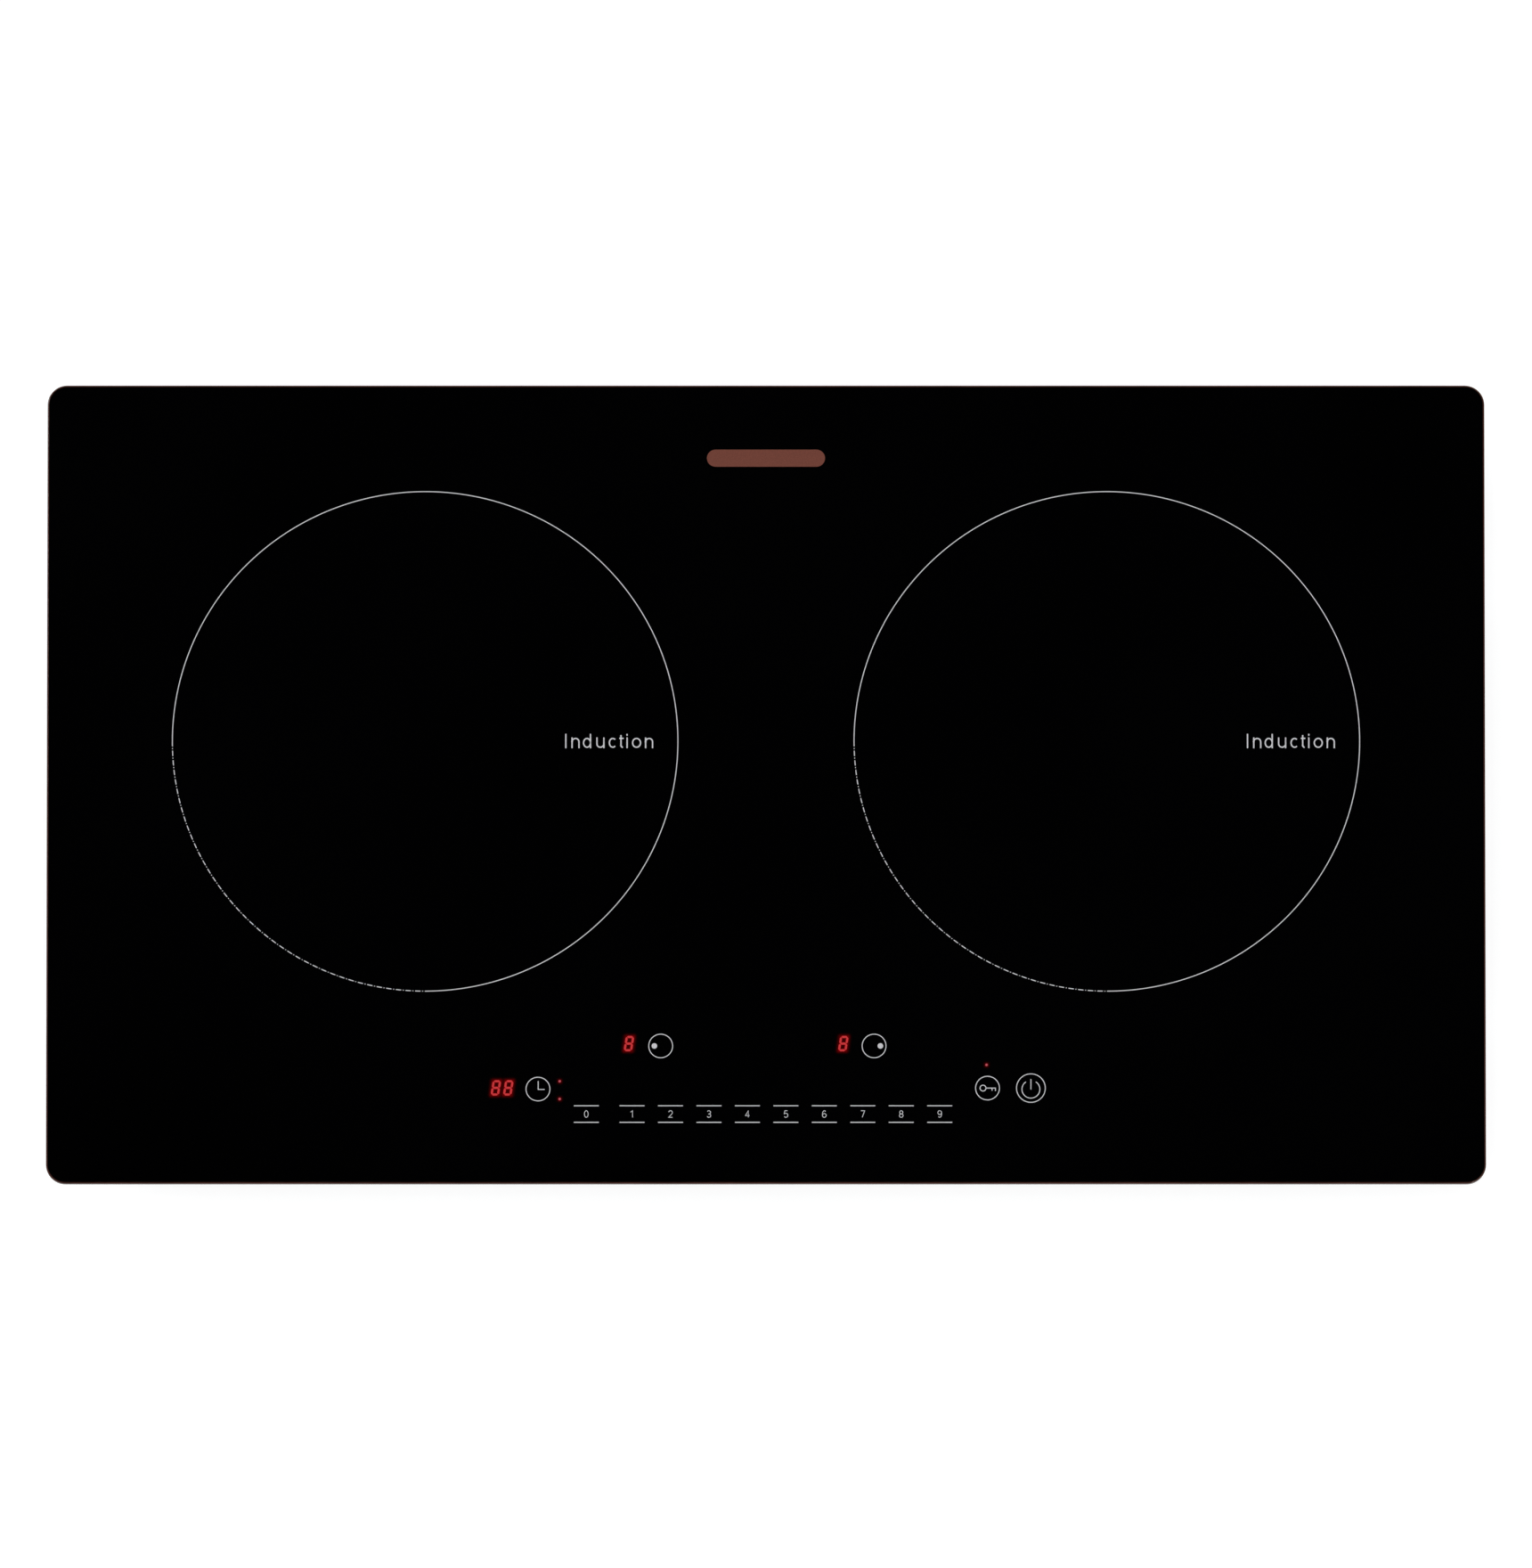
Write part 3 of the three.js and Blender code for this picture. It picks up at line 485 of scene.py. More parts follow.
def letter_strokes():
    n_arch = [(0, ARCH)] + arc((ROUND, ARCH), ROUND, 180, 0) + [(2 * ROUND, 0)]
    u_bowl = [(0, X_LINE)] + arc((ROUND, ROUND + 0.5), ROUND, 180, 360) + [(2 * ROUND, X_LINE)]
    middle, tall = X_LINE / 2, X_LINE / 2 - 0.5
    return {
        "I": [[(0, 0), (0, CAP)]],
        "n": [[(0, 0), (0, X_LINE)], n_arch],
        "d": [full_turn((ROUND, middle), (ROUND, tall)), [(2 * ROUND, 0), (2 * ROUND, CAP)]],
        "u": [u_bowl, [(2 * ROUND, 0), (2 * ROUND, X_LINE)]],
        "c": [arc((ROUND, middle), (ROUND, tall), 48, 312)],
        "t": [[(0, 6.7)] + [(0, 1.4)] + arc((0.9, 1.4), 0.9, 180, 275), [(-0.9, 5.05), (1.35, 5.05)]],
        "i": [[(0, 0), (0, X_LINE)], [(0, 6.45), (0, CAP)]],
        "o": [full_turn((2.0, middle), (2.0, tall))],
    }


WORD = (("I", 0.5), ("n", 3.66), ("d", 9.5), ("u", 16.3), ("c", 22.6), ("t", 28.5), ("i", 31.6), ("o", 34.4),
        ("n", 41.0))
WORD_WIDTH = 45.0
WORD_PLACE = (93.4 * MM, -3.6 * MM)  # from the zone's centre to the middle of the word's baseline


def zone_word(side, sign):
    """The plain word for the heating method, printed once in each zone."""
    strokes = letter_strokes()
    paths = [[(x + offset, y) for x, y in path] for letter, offset in WORD for path in strokes[letter]]
    left = sign * ZONE_X + WORD_PLACE[0] - WORD_WIDTH / 2 * MM
    written(f"{side}_zone_word", left, ZONE_Y + WORD_PLACE[1], 0.66 * MM, paths)


def digit_strokes():
    """Centre lines of the digits, in millimetres, about the middle of each digit."""
    w, h = 0.95, 1.7
    six = arc((0, 0), (w, h), 48, 180) + [(-w, -0.7)]
    six_bowl = full_turn((0, -0.72), (w, 0.98))
    return [
        [full_turn((0, 0), (w, h))],
        [[(-0.75, 0.95), (0.25, h), (0.25, -h)]],
        [arc((0, 0.75), (w, 0.95), 165, -35) + [(-w, -h), (w + 0.05, -h)]],
        [arc((-0.05, 0.85), 0.85, 150, -90) + [(-0.35, 0)], arc((-0.05, -0.8), (w, 0.9), 90, -155)],
        [[(0.45, -h), (0.45, h), (-w - 0.05, -0.8), (w + 0.15, -0.8)]],
        [[(w - 0.1, h), (-0.55, h), (-0.8, 0.1)] + arc((0, -0.62), (w, 1.08), 135, -145)],
        [six, six_bowl],
        [[(-w, h), (w, h), (-0.3, -h)]],
        [full_turn((0, 0.85), (0.8, 0.85)), full_turn((0, -0.8), (w, 0.9))],
        [[(-x, -y) for x, y in six], [(-x, -y) for x, y in six_bowl]],
    ]


KEYS = {"first": -91.1, "second": -67.9, "pitch": 19.495, "y": -169.3}  # millimetres
KEY_BAR = {"long": 12.65, "line": 0.5, "apart": 8.5}


def number_key_x(number):
    return (KEYS["first"] if number == 0 else KEYS["second"] + KEYS["pitch"] * (number - 1)) * MM


def number_keys():
    """Ten number keys, each with a bar above and below its digit."""
    half, apart = KEY_BAR["long"] / 2, KEY_BAR["apart"] / 2
    bars = [[(-half, s * apart), (half, s * apart)] for s in (-1, 1)]
    for number, strokes in enumerate(digit_strokes()):
        x, y = number_key_x(number), KEYS["y"] * MM
        written(f"key_{number}_bars", x, y, KEY_BAR["line"] * MM, bars)
        written(f"key_{number}_digit", x, y, 0.31 * MM, strokes)


ICON_LINE = 0.43 * MM
TIMER_KEY = (-115.6 * MM, -156.5 * MM)
LOCK_KEY = (112.3 * MM, -156.0 * MM)
POWER_KEY = (134.3 * MM, -156.0 * MM)
ZONE_KEYS = {"left": (-53.4 * MM, -134.4 * MM), "right": (54.8 * MM, -134.4 * MM)}


def ring_of(centre, radius):
    return ribbon(full_turn(centre, radius, 64), ICON_LINE, True)


def touch_key(name, centre, strokes=(), radius=6.05 * MM, solids=()):
    """A printed key: a ring, more solids, and strokes in millimetres from its centre."""
    paths = [[(centre[0] + x * MM, centre[1] + y * MM) for x, y in path] for path in strokes]
    lines = [ribbon(path, ICON_LINE) for path in paths]
    printed(f"{name}_key", [ring_of(centre, radius), *solids, *lines])


def touch_keys():
    touch_key("timer", TIMER_KEY, [[(0.1, 4.0), (0.1, -0.2), (3.4, -0.2)]])
    bow = ring_of((LOCK_KEY[0] - 2.3 * MM, LOCK_KEY[1]), 1.5 * MM)
    touch_key("lock", LOCK_KEY, [[(-0.8, 0), (4.0, 0), (4.0, -1.5)], [(2.3, 0), (2.3, -1.3)]], solids=[bow])
    touch_key("power", POWER_KEY, [arc((0, -0.6), 4.55, 124, 416), [(0, 4.6), (0, -0.7)]], 7.3 * MM)
    for side, sign in SIDES.items():
        x, y = ZONE_KEYS[side]
        touch_key(f"{side}_zone", (x, y), solids=[disc((x + sign * 3.2 * MM, y), 1.4 * MM)])


def plain_mark():
    """A plain copper-coloured bar with round ends, where a maker would print a mark."""
    half_x, half_y, centre_y = 30 * MM, 4.4 * MM, 167.5 * MM
    loops = [rounded_loop(half_x, half_y, half_y, z, 10, (0, centre_y)) for z in (GLASS_TOP, GLASS_TOP + INK)]
    printed("plain_mark", [stitched(loops)], "copper_ink")


# ------------------------------------------------------------------ lit digits
SLANT = math.tan(math.radians(9))
DIGIT_WIDTH, DIGIT_HEIGHT, DIGIT_BAR = 3.25 * MM, 6.8 * MM, 1.08 * MM


def segment_centres(centre, width, height):
    """The seven bars of a digit as (start, end) centre lines."""
    x, y = centre
    w, h = width / 2, height / 2

    def at(px, py):
        return (x + px + py * SLANT, y + py)

    return [
        (at(-w, h), at(w, h)), (at(-w, 0), at(w, 0)), (at(-w, -h), at(w, -h)),
        (at(-w, h), at(-w, 0)), (at(w, h), at(w, 0)), (at(-w, 0), at(-w, -h)), (at(w, 0), at(w, -h)),
    ]


def bar_with_points(start, end, width):
    """A lit bar whose two ends are cut to a point."""
    a, b = Vector(start), Vector(end)
    way = (b - a).normalized()
    across = Vector((-way.y, way.x)) * width / 2
    gap = 0.10 * MM
    a, b = a + way * gap, b - way * gap
    tip = way * width / 2
    outline = [a, a + tip - across, b - tip - across, b, b - tip + across, a + tip + across]
    loops = [[(p.x, p.y, z) for p in outline] for z in (GLASS_TOP + INK / 3, GLASS_TOP + INK)]
    return stitched(loops)


def distance_to_bar(point, start, end):
    a, b, p = Vector(start), Vector(end), Vector(point)
    along = max(0.0, min(1.0, (p - a).dot(b - a) / (b - a).length_squared))
    return (p - a - (b - a) * along).length


def halo(name, lines, margin, reach):
    """A thin patch of glass surface that glows most beside the lit lines."""
    xs = [p[0] for line in lines for p in line]
    ys = [p[1] for line in lines for p in line]
    low = (min(xs) - margin, min(ys) - margin)
    high = (max(xs) + margin, max(ys) + margin)
    step = 0.3 * MM
    columns = math.ceil((high[0] - low[0]) / step)
    rows = math.ceil((high[1] - low[1]) / step)
    points = []
    for z in (GLASS_TOP, GLASS_TOP + INK / 4):
        for row in range(rows + 1):
            for column in range(columns + 1):
                points.append((low[0] + (high[0] - low[0]) * column / columns,
                               low[1] + (high[1] - low[1]) * row / rows, z))
    layer, width = (rows + 1) * (columns + 1), columns + 1
    faces = []
    for row in range(rows):
        for column in range(columns):
            corner = row * width + column
            quad = (corner, corner + 1, corner + width + 1, corner + width)
            faces.append(tuple(reversed(quad)))
            faces.append(tuple(layer + i for i in quad))
    rim = [(0, c) for c in range(columns)] + [(r, columns) for r in range(rows)]
    rim += [(rows, c) for c in range(columns, 0, -1)] + [(r, 0) for r in range(rows, 0, -1)]
    for (r0, c0), (r1, c1) in zip(rim, rim[1:] + rim[:1]):
        a, b = r0 * width + c0, r1 * width + c1
        faces.append((a, b, layer + b, layer + a))
    made = piece(name, (points, faces), "halo", slot="led_display", smooth=None)
    values = made.data.attributes.new("halo", "FLOAT", "POINT")
    shares = []
    for point in points:
        nearest = min(distance_to_bar(point[:2], *line) for line in lines)
        edge = min(point[0] - low[0], high[0] - point[0], point[1] - low[1], high[1] - point[1])
        fade = min(1.0, edge / (margin * 0.6))
        shares.append(math.exp(-(nearest / reach) ** 1.5) * fade)
    values.data.foreach_set("value", shares)


def lit_digit(name, centre):
    bars = segment_centres(centre, DIGIT_WIDTH, DIGIT_HEIGHT)
    printed(name, [bar_with_points(a, b, DIGIT_BAR) for a, b in bars], "segment")
    return bars


def displays():
    for side in SIDES:
        x, y, _ = centre_of(f"{side}_zone_display")
        halo(f"{side}_zone_halo", lit_digit(f"{side}_zone_lit_digit", (x, y + 0.2 * MM)), 2.6 * MM, 0.9 * MM)
    x, y, _ = centre_of("timer_display")
    bars = lit_digit("timer_lit_tens", (x - 3.15 * MM, y)) + lit_digit("timer_lit_units", (x + 3.15 * MM, y))
    halo("timer_halo", bars, 2.6 * MM, 0.9 * MM)


LAMPS = {
    "upper_timer_lamp": (-104.6, -152.5), "lower_timer_lamp": (-104.6, -161.6), "lock_lamp": (111.8, -144.1),
}


def lamps():
    for name, (x, y) in LAMPS.items():
        centre = (x * MM, y * MM)
        solid = disc(centre, 0.65 * MM, 16)
        raised = [(vx, vy, vz + INK / 3 if vz < GLASS_TOP + INK / 2 else vz) for vx, vy, vz in solid[0]]
        printed(name, [(raised, solid[1])], "lamp")
        halo(f"{name}_halo", [(centre, (centre[0] + 0.01 * MM, centre[1]))], 2.4 * MM, 0.8 * MM)


# ------------------------------------------------------------------ base tray, seal and bond
TRAY_LOW, TRAY_HIGH = BOX["base_tray"]
SHEET = 1.0 * MM
FLANGE = 7.0 * MM
WALL_X, WALL_Y = TRAY_HIGH.x - FLANGE, TRAY_HIGH.y - FLANGE
CORNER = 6.0 * MM
FAN_CENTRE = {side: centre_of(f"{side}_fan_frame") for side in SIDES}
FAN_DUCT = 43 * MM
BRACKET_Y = 110 * MM
SCREW_Z = 35 * MM
GLAND_Z = centre_of("cable_gland")[2]


def tray_loop(beyond_wall, z):
    """A loop round the tray, so far outside its wall."""
    return rounded_loop(WALL_X + beyond_wall, WALL_Y + beyond_wall, max(CORNER + beyond_wall, 1.2 * MM), z, 7)


def bend(centre_out, centre_z, radius, start, end, steps=4):
    loops = []
    for i in range(steps + 1):
        angle = math.radians(start + (end - start) * i / steps)
        loops.append(tray_loop(centre_out + radius * math.cos(angle), centre_z + radius * math.sin(angle)))
    return loops


def tray_skin():
    """The folded sheet: floor, wall and out-turned flange, with the radius of each bend."""
    low, top = TRAY_LOW.z, TRAY_HIGH.z
    tight, wide = 1.4 * MM, 2.4 * MM
    loops = bend(-wide, low + wide, wide, -90, 0)                                  # under the floor
    loops += bend(tight, top - SHEET - tight, tight, 180, 90)                      # under the flange
    loops += bend(FLANGE - SHEET / 2, top - SHEET / 2, SHEET / 2, -90, 90, 5)      # the flange's edge
    loops += bend(wide - SHEET, top - wide, wide, 90, 180)                         # over the flange
    loops += bend(-wide, low + wide, tight, 0, -90)                                # inside the floor
    return stitched(loops)


def grille_slots():
    slots = []
    pitch, rows, rib, half_wide = 11 * MM, 7, 3 * MM, 2.2 * MM
    low = TRAY_LOW.z
    for side in SIDES:
        x, y, _ = FAN_CENTRE[side]
        for row in range(rows):
            offset = (row - (rows - 1) / 2) * pitch
            reach = math.sqrt((FAN_DUCT - 2 * MM) ** 2 - offset ** 2)
            for way in (-1, 1):
                centre = (x + way * (reach + rib) / 2, y + offset)
                slots.append(stadium(centre, (reach - rib) / 2, half_wide, low - MM, low + 2 * MM))
    return slots


def wall_openings():
    def hole(radius, sign, wall, steps, centre, axis):
        return turned([(radius, sign * (wall + away * MM)) for away in (-3, 3)], steps, centre, axis)

    openings = []
    for sign in SIDES.values():
        for column in range(8):
            x = sign * (120 + 22 * column) * MM
            for z in (22.5 * MM, 36.5 * MM):
                openings.append(stadium((x, z), 7 * MM, 2.5 * MM, WALL_Y - 3 * MM, WALL_Y + 3 * MM, "y"))
        for end in ENDS.values():
            openings.append(hole(2.1 * MM, sign, WALL_X, 20, (0, end * BRACKET_Y, SCREW_Z), "x"))
    openings.append(hole(11.3 * MM, 1, WALL_Y, 40, (0, 0, GLAND_Z), "y"))
    return openings


def stiffening_ribs():
    """Low beads pressed downwards into the floor between the feet."""
    ribs = []
    for x in (-40 * MM, 0, 40 * MM):
        loops = []
        for inset, z in ((0, 0.3 * MM), (1.0 * MM, -0.5 * MM), (2.4 * MM, -1.0 * MM)):
            half_wide = 5 * MM - inset
            loops.append(rounded_loop(half_wide, 120 * MM - inset, half_wide, TRAY_LOW.z + z, 8, (x, 0)))
        ribs.append(stitched(loops))
    return ribs


def base_tray():
    tray = combined(loose(tray_skin()), together(stiffening_ribs()), "UNION")
    tray = combined(tray, together(grille_slots() + wall_openings()))
    named(tray, "folded_tray", "tray_steel", stands_for=["base_tray"], smooth=30)


def strip_round(section, half_x, half_y, corner):
    """A closed section of (inset, z) points run round the plate's outline."""
    loops = []
    for inset, z in section:
        loops.append(rounded_loop(half_x - inset, half_y - inset, max(corner - inset, 0.8 * MM), z, 8))
    return stitched(loops, cap_ends=False)


def seal_and_bond():
    low, top = BOX["rim_seal"][0].z, BOX["rim_seal"][1].z
    section = [(2.0, 0.5), (2.5, 0), (5.2, 0), (6.6, 0.35), (8.4, 0.35), (9.8, 0), (12.5, 0), (13.0, 0.5)]
    section = [(inset * MM, low + lift * MM) for inset, lift in section]
    section += [(13.0 * MM, top - 0.2 * MM), (12.7 * MM, top), (2.3 * MM, top), (2.0 * MM, top - 0.2 * MM)]
    piece("edge_strip", strip_round(section, HALF_X, HALF_Y, 10 * MM), "seal_rubber", stands_for=["rim_seal"])

    low, high = BOX["silicone_bead"]
    section = [(4.0, 0), (3.6, 0.6), (3.6, 1.4), (4.0, 2.0), (0, 2.0), (0.45, 1.4), (0.45, 0.6), (0, 0)]
    section = [(inset * MM, low.z + lift * MM) for inset, lift in section]
    solid = strip_round(section, high.x, high.y, 6 * MM)
    piece("bond_line", solid, "silicone", stands_for=["silicone_bead"], smooth=60)


# ------------------------------------------------------------------ worktop brackets and screws
def bracket(side, sign, end, end_sign):
    """A bent steel angle with a slot: a jaw that clamps the worktop from below."""
    name = f"{side}_{end}_bracket"
    low, high = BOX[name]
    inner_x, tip_x = (low.x, high.x) if sign > 0 else (-high.x, -low.x)
    sheet, tight = 1.5 * MM, 0.8 * MM
    outer = sheet + tight
    bend_x, bend_z = inner_x + outer, low.z + outer
    profile = [(inner_x, high.z)]
    profile += [(bend_x + outer * math.cos(a), bend_z + outer * math.sin(a)) for a in angles(180, 270, 6)]
    profile += [(tip_x, low.z), (tip_x, low.z + sheet)]
    profile += [(bend_x + tight * math.cos(a), bend_z + tight * math.sin(a)) for a in angles(270, 180, 5)]
    profile += [(inner_x + sheet, high.z)]
    loops = [[(sign * x, y, z) for x, z in profile] for y in (low.y, high.y)]
    solid = loose(stitched(loops))
    half_slot, travel = 2.2 * MM, 14 * MM
    slot = stadium((end_sign * BRACKET_Y, SCREW_Z - travel / 2), travel / 2 + half_slot, half_slot,
                   sign * (inner_x - MM), sign * (inner_x + 3 * MM), "x")
    solid = modified(combined(solid, slot), "BEVEL", width=0.25 * MM, segments=2, limit_method="ANGLE",
                     angle_limit=math.radians(50), use_clamp_overlap=True)
    named(solid, f"{side}_{end}_clamp_bracket", "zinc_steel", f"{side}_{end}_clamp", stands_for=[name],
          smooth=35)


def pan_head_screw(side, sign, end, end_sign):
    name = f"{side}_{end}_bracket_screw"
    low, high = BOX[name]
    inner, tip = (low.x, high.x) if sign > 0 else (-high.x, -low.x)
    head, shaft, thick = 4.0 * MM, 1.8 * MM, 2.4 * MM
    seat = tip - thick
    profile = [(0.9 * MM, inner), (shaft, inner + 0.8 * MM)]
    turns = round((seat - inner - MM) / (0.7 * MM))
    for i in range(turns):
        start = inner + 0.8 * MM + 0.7 * MM * i
        profile += [(shaft - 0.3 * MM, start + 0.35 * MM), (shaft, start + 0.7 * MM)]
    profile += [(shaft, seat), (head - 0.15 * MM, seat), (head, seat + 0.2 * MM), (head, seat + 0.8 * MM)]
    crown = thick - 0.8 * MM
    for a in angles(0, 80, 6)[1:]:
        profile.append((head * 0.35 + head * 0.65 * math.cos(a), seat + 0.8 * MM + crown * math.sin(a)))
    profile[-1] = (profile[-1][0], tip)
    centre = (0, end_sign * BRACKET_Y, SCREW_Z)
    solid = loose(turned([(r, sign * x) for r, x in profile], 32, centre, "x"))
    recess = sorted((sign * (tip - 1.3 * MM), sign * (tip + MM)))
    solid = crossed(solid, centre[1:], "x", 2.3 * MM, 0.42 * MM, *recess)
    named(solid, f"{side}_{end}_pan_head_screw", "zinc_steel", stands_for=[name], smooth=32)


# ------------------------------------------------------------------ feet and cable gland
def foot(side, end):
    name = f"{side}_{end}_foot"
    low, high = BOX[name]
    centre = (*centre_of(name)[:2], 0)
    height, radius = high.z, (high.x - low.x) / 2
    profile = in_mm([(1.0, 2.6), (2.6, 2.5), (3.0, 0.7), (3.6, 0.1), (4.2, 0)])
    for groove in (6.2, 9.0):
        profile += in_mm([(groove, 0), (groove + 0.35, 0.7), (groove + 1.05, 0.7), (groove + 1.4, 0)])
    profile += [(radius - 1.4 * MM, 0), (radius - 0.5 * MM, 0.35 * MM), (radius, 1.3 * MM)]
    profile += [(radius - 0.4 * MM, 3.0 * MM), (radius - 1.6 * MM, height - 0.5 * MM)]
    profile += [(radius - 2.1 * MM, height)]
    profile += [(1.0 * MM, height)]
    piece(f"{side}_{end}_rubber_foot", turned(profile, 48, centre), "foot_rubber", stands_for=[name])


def gland_ring(profile, steps, shape):
    """A ring about the gland's axis from (radius, distance out of the wall) rows in millimetres.

    shape(angle, row) gives the radius, in millimetres, at each angle.
    """
    loops = []
    for row in profile:
        loop = []
        for i in range(steps):
            angle = 2 * math.pi * i / steps
            radius = shape(angle, row) * MM
            loop.append((radius * math.cos(angle), WALL_Y + row[1] * MM, GLAND_Z + radius * math.sin(angle)))
        loops.append(loop)
    return stitched(loops, cap_ends=False)


def hexagonal(profile, reach):
    """A ring whose rows marked True are pressed out to six flats, with corners at reach."""
    def shape(angle, row):
        radius, _, flat = row
        if not flat:
            return radius
        return min(radius / math.cos((angle + math.pi / 6) % (math.pi / 3) - math.pi / 6), reach)

    return gland_ring(profile, 72, shape)


def fluted(angle, row):
    """The dome nut's grip: twelve shallow flutes round its widest rows."""
    radius, out = row
    deep = 0.55 * max(0.0, math.cos(12 * angle)) ** 2
    return radius - deep if radius > 11 and 4.5 < out < 12 else radius


def cable_gland():
    """Threaded body, hexagonal shoulder, ribbed dome nut and an inner lock nut, with an open bore."""
    shoulder = [
        (6.5, -7.0, False), (8.0, -7.0, False), (8.7, -6.6, False), (10.8, -6.2, False), (10.8, -1.3, False),
        (10.8, 0.3, False), (12.6, 0.3, True), (12.9, 0.6, True), (12.9, 3.4, True), (12.5, 3.9, True),
        (10.6, 4.0, False), (6.5, 4.0, False),
    ]
    piece("gland_body", hexagonal(shoulder, 14.9), "black_plastic", stands_for=["cable_gland"], smooth=35)
    dome = [(6.6, 4.3), (11.6, 4.3), (12.2, 4.8), (12.2, 10.2), (11.6, 11.6), (10.2, 13.2), (8.6, 14.4),
            (7.6, 15.0), (6.6, 15.0), (6.1, 13.6)]
    piece("gland_dome_nut", gland_ring(dome, 144, fluted), "black_plastic", smooth=35)
    nut = [(10.9, -1.25, False), (12.0, -1.25, True), (12.4, -1.7, True), (12.4, -5.0, True),
           (12.0, -5.5, True), (10.9, -5.5, False)]
    piece("gland_lock_nut", hexagonal(nut, 14.2), "black_plastic", smooth=35)


# ------------------------------------------------------------------ wires and springs
def frames_along(path):
    """Each point of a path with two directions across it that turn as little as possible."""
    points = [Vector(p) for p in path]
    last = len(points) - 1
    side = None
    for i, point in enumerate(points):
        way = (points[min(i + 1, last)] - points[max(i - 1, 0)]).normalized()
        if side is None:
            side = way.orthogonal()
        side = (side - way * side.dot(way)).normalized()
        yield point, side, way.cross(side)


def tube(path, radius, sides=10):
    """A round wire along a path, with flat ends."""
    loops = []
    for point, across, up in frames_along(path):
        ways = [2 * math.pi * i / sides for i in range(sides)]
        loops.append([tuple(point + radius * (math.cos(a) * across + math.sin(a) * up)) for a in ways])
    return stitched(loops)


def curve_through(points, per_span=8):
    """A smooth path through points."""
    known = [Vector(p) for p in points]
    known = [known[0] * 2 - known[1]] + known + [known[-1] * 2 - known[-2]]
    path = []
    for a, b, c, d in zip(known, known[1:], known[2:], known[3:]):
        for i in range(per_span):
            t = i / per_span
            path.append(0.5 * (2 * b + (c - a) * t + (2 * a - 5 * b + 4 * c - d) * t ** 2
                               + (3 * b - a - 3 * c + d) * t ** 3))
    return path + [known[-2]]


def twisted(path, radius, strands, lay):
    """Several wires twisted round each other inside a circle of that radius."""
    share = 1 / strands if strands == 2 else 1 / (1 + 1 / math.sin(math.pi / strands))
    wire = radius * share
    solids = []
    for strand in range(strands):
        points, travelled, before = [], 0.0, None
        for point, across, up in frames_along(path):
            travelled += (point - before).length if before else 0.0
            before = point
            turn = 2 * math.pi * (strand / strands + travelled / lay)
            points.append(point + (radius - wire) * (math.cos(turn) * across + math.sin(turn) * up))
        solids.append(tube(points, wire * 0.97, 10))
    return solids


def helix(centre, radius, low, high, wire, turns, closed_turns=0.8, steps=20):
    """The centre line of a compression spring whose end coils are closed."""
    low, high = low + wire, high - wire
    total = turns + 2 * closed_turns
    end_rise = 2.05 * wire * closed_turns
    count = int(total * steps)
    path = []
    for i in range(count + 1):
        turn = total * i / count
        if turn < closed_turns:
            z = low + end_rise * turn / closed_turns
        elif turn > total - closed_turns:
            z = high - end_rise * (total - turn) / closed_turns
        else:
            z = low + end_rise + (high - low - 2 * end_rise) * (turn - closed_turns) / turns
        angle = 2 * math.pi * turn
        path.append((centre[0] + radius * math.cos(angle), centre[1] + radius * math.sin(angle), z))
    return path


def sinks_with_coil(made):
    """Gives the piece a mesh of its own."""
    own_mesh(made)


def coil_springs(side):
    for number in (1, 2, 3):
        name = f"{side}_coil_spring_{number}"
        low, high = BOX[name]
        wire = 0.6 * MM
        radius = (high.x - low.x) / 2 - wire
        path = helix(middle(name), radius, low.z, high.z, wire, 3.4)
        made = piece(f"{side}_float_spring_{number}", tube(path, wire, 8), "spring_steel", stands_for=[name],
                     smooth=60)
        sinks_with_coil(made)


def leads(side, sign):
    """The coil, fan and mains leads of one zone, as twisted wires. Points are in millimetres."""
    zone, fan = (ZONE_X / MM, ZONE_Y / MM), (abs(FAN_CENTRE[side][0]) / MM, FAN_CENTRE[side][1] / MM)
    fan_x = fan[0] - 26
    routes = {
        "coil": (1.6, 2, 14, [(zone[0], zone[1] - 105.5, 51), (zone[0], zone[1] - 116, 47),
                              (zone[0], zone[1] - 117.5, 32), (zone[0], zone[1] - 116, 18),
                              (zone[0], zone[1] - 110, 15.6)]),
        "fan": (1.2, 2, 9, [(fan_x, fan[1] - 46.3, 22), (fan_x, fan[1] - 50, 22), (fan_x, fan[1] - 53, 18),
                            (fan_x, fan[1] - 60, 15.2)]),
        "power": (2.0, 3, 22, [(12, 123.5, 17), (12, 119, 17), (14, 110, 12), (20, 80, 9.6), (50, 30, 9.6),
                               (80, 14, 12), (94, 10, 17.5), (108, 8, 16)]),
    }
    for kind, (radius, strands, lay, points) in routes.items():
        name = f"{side}_{kind}_lead"
        path = curve_through([(sign * x * MM, y * MM, z * MM) for x, y, z in points], 10)
        solid = together(twisted(path, radius * MM, strands, lay * MM))
        made = piece(f"{side}_{kind}_wires", solid, "wire_insulation", stands_for=[name], smooth=60)
        if kind == "coil":
            sinks_with_coil(made)


# ------------------------------------------------------------------ coil module
def spiral_coil(side):
    """Litz wire wound flat, from the middle out."""
    name = f"{side}_litz_coil"
    low, high = BOX[name]
    centre = middle(name)
    wire = 1.92 * MM
    inner, outer = 21.5 * MM, (high.x - low.x) / 2 - wire
    turns, steps = 21, 56
    path = []
    for i in range(turns * steps + 1):
        radius = inner + (outer - inner) * i / (turns * steps)
        angle = 2 * math.pi * i / steps - math.pi / 2
        path.append((centre.x + radius * math.cos(angle), centre.y + radius * math.sin(angle), centre.z))
    piece(f"{side}_spiral_winding", tube(path, wire, 8), "copper_wire", body=f"{side}_coil_module",
          stands_for=[name], smooth=70)


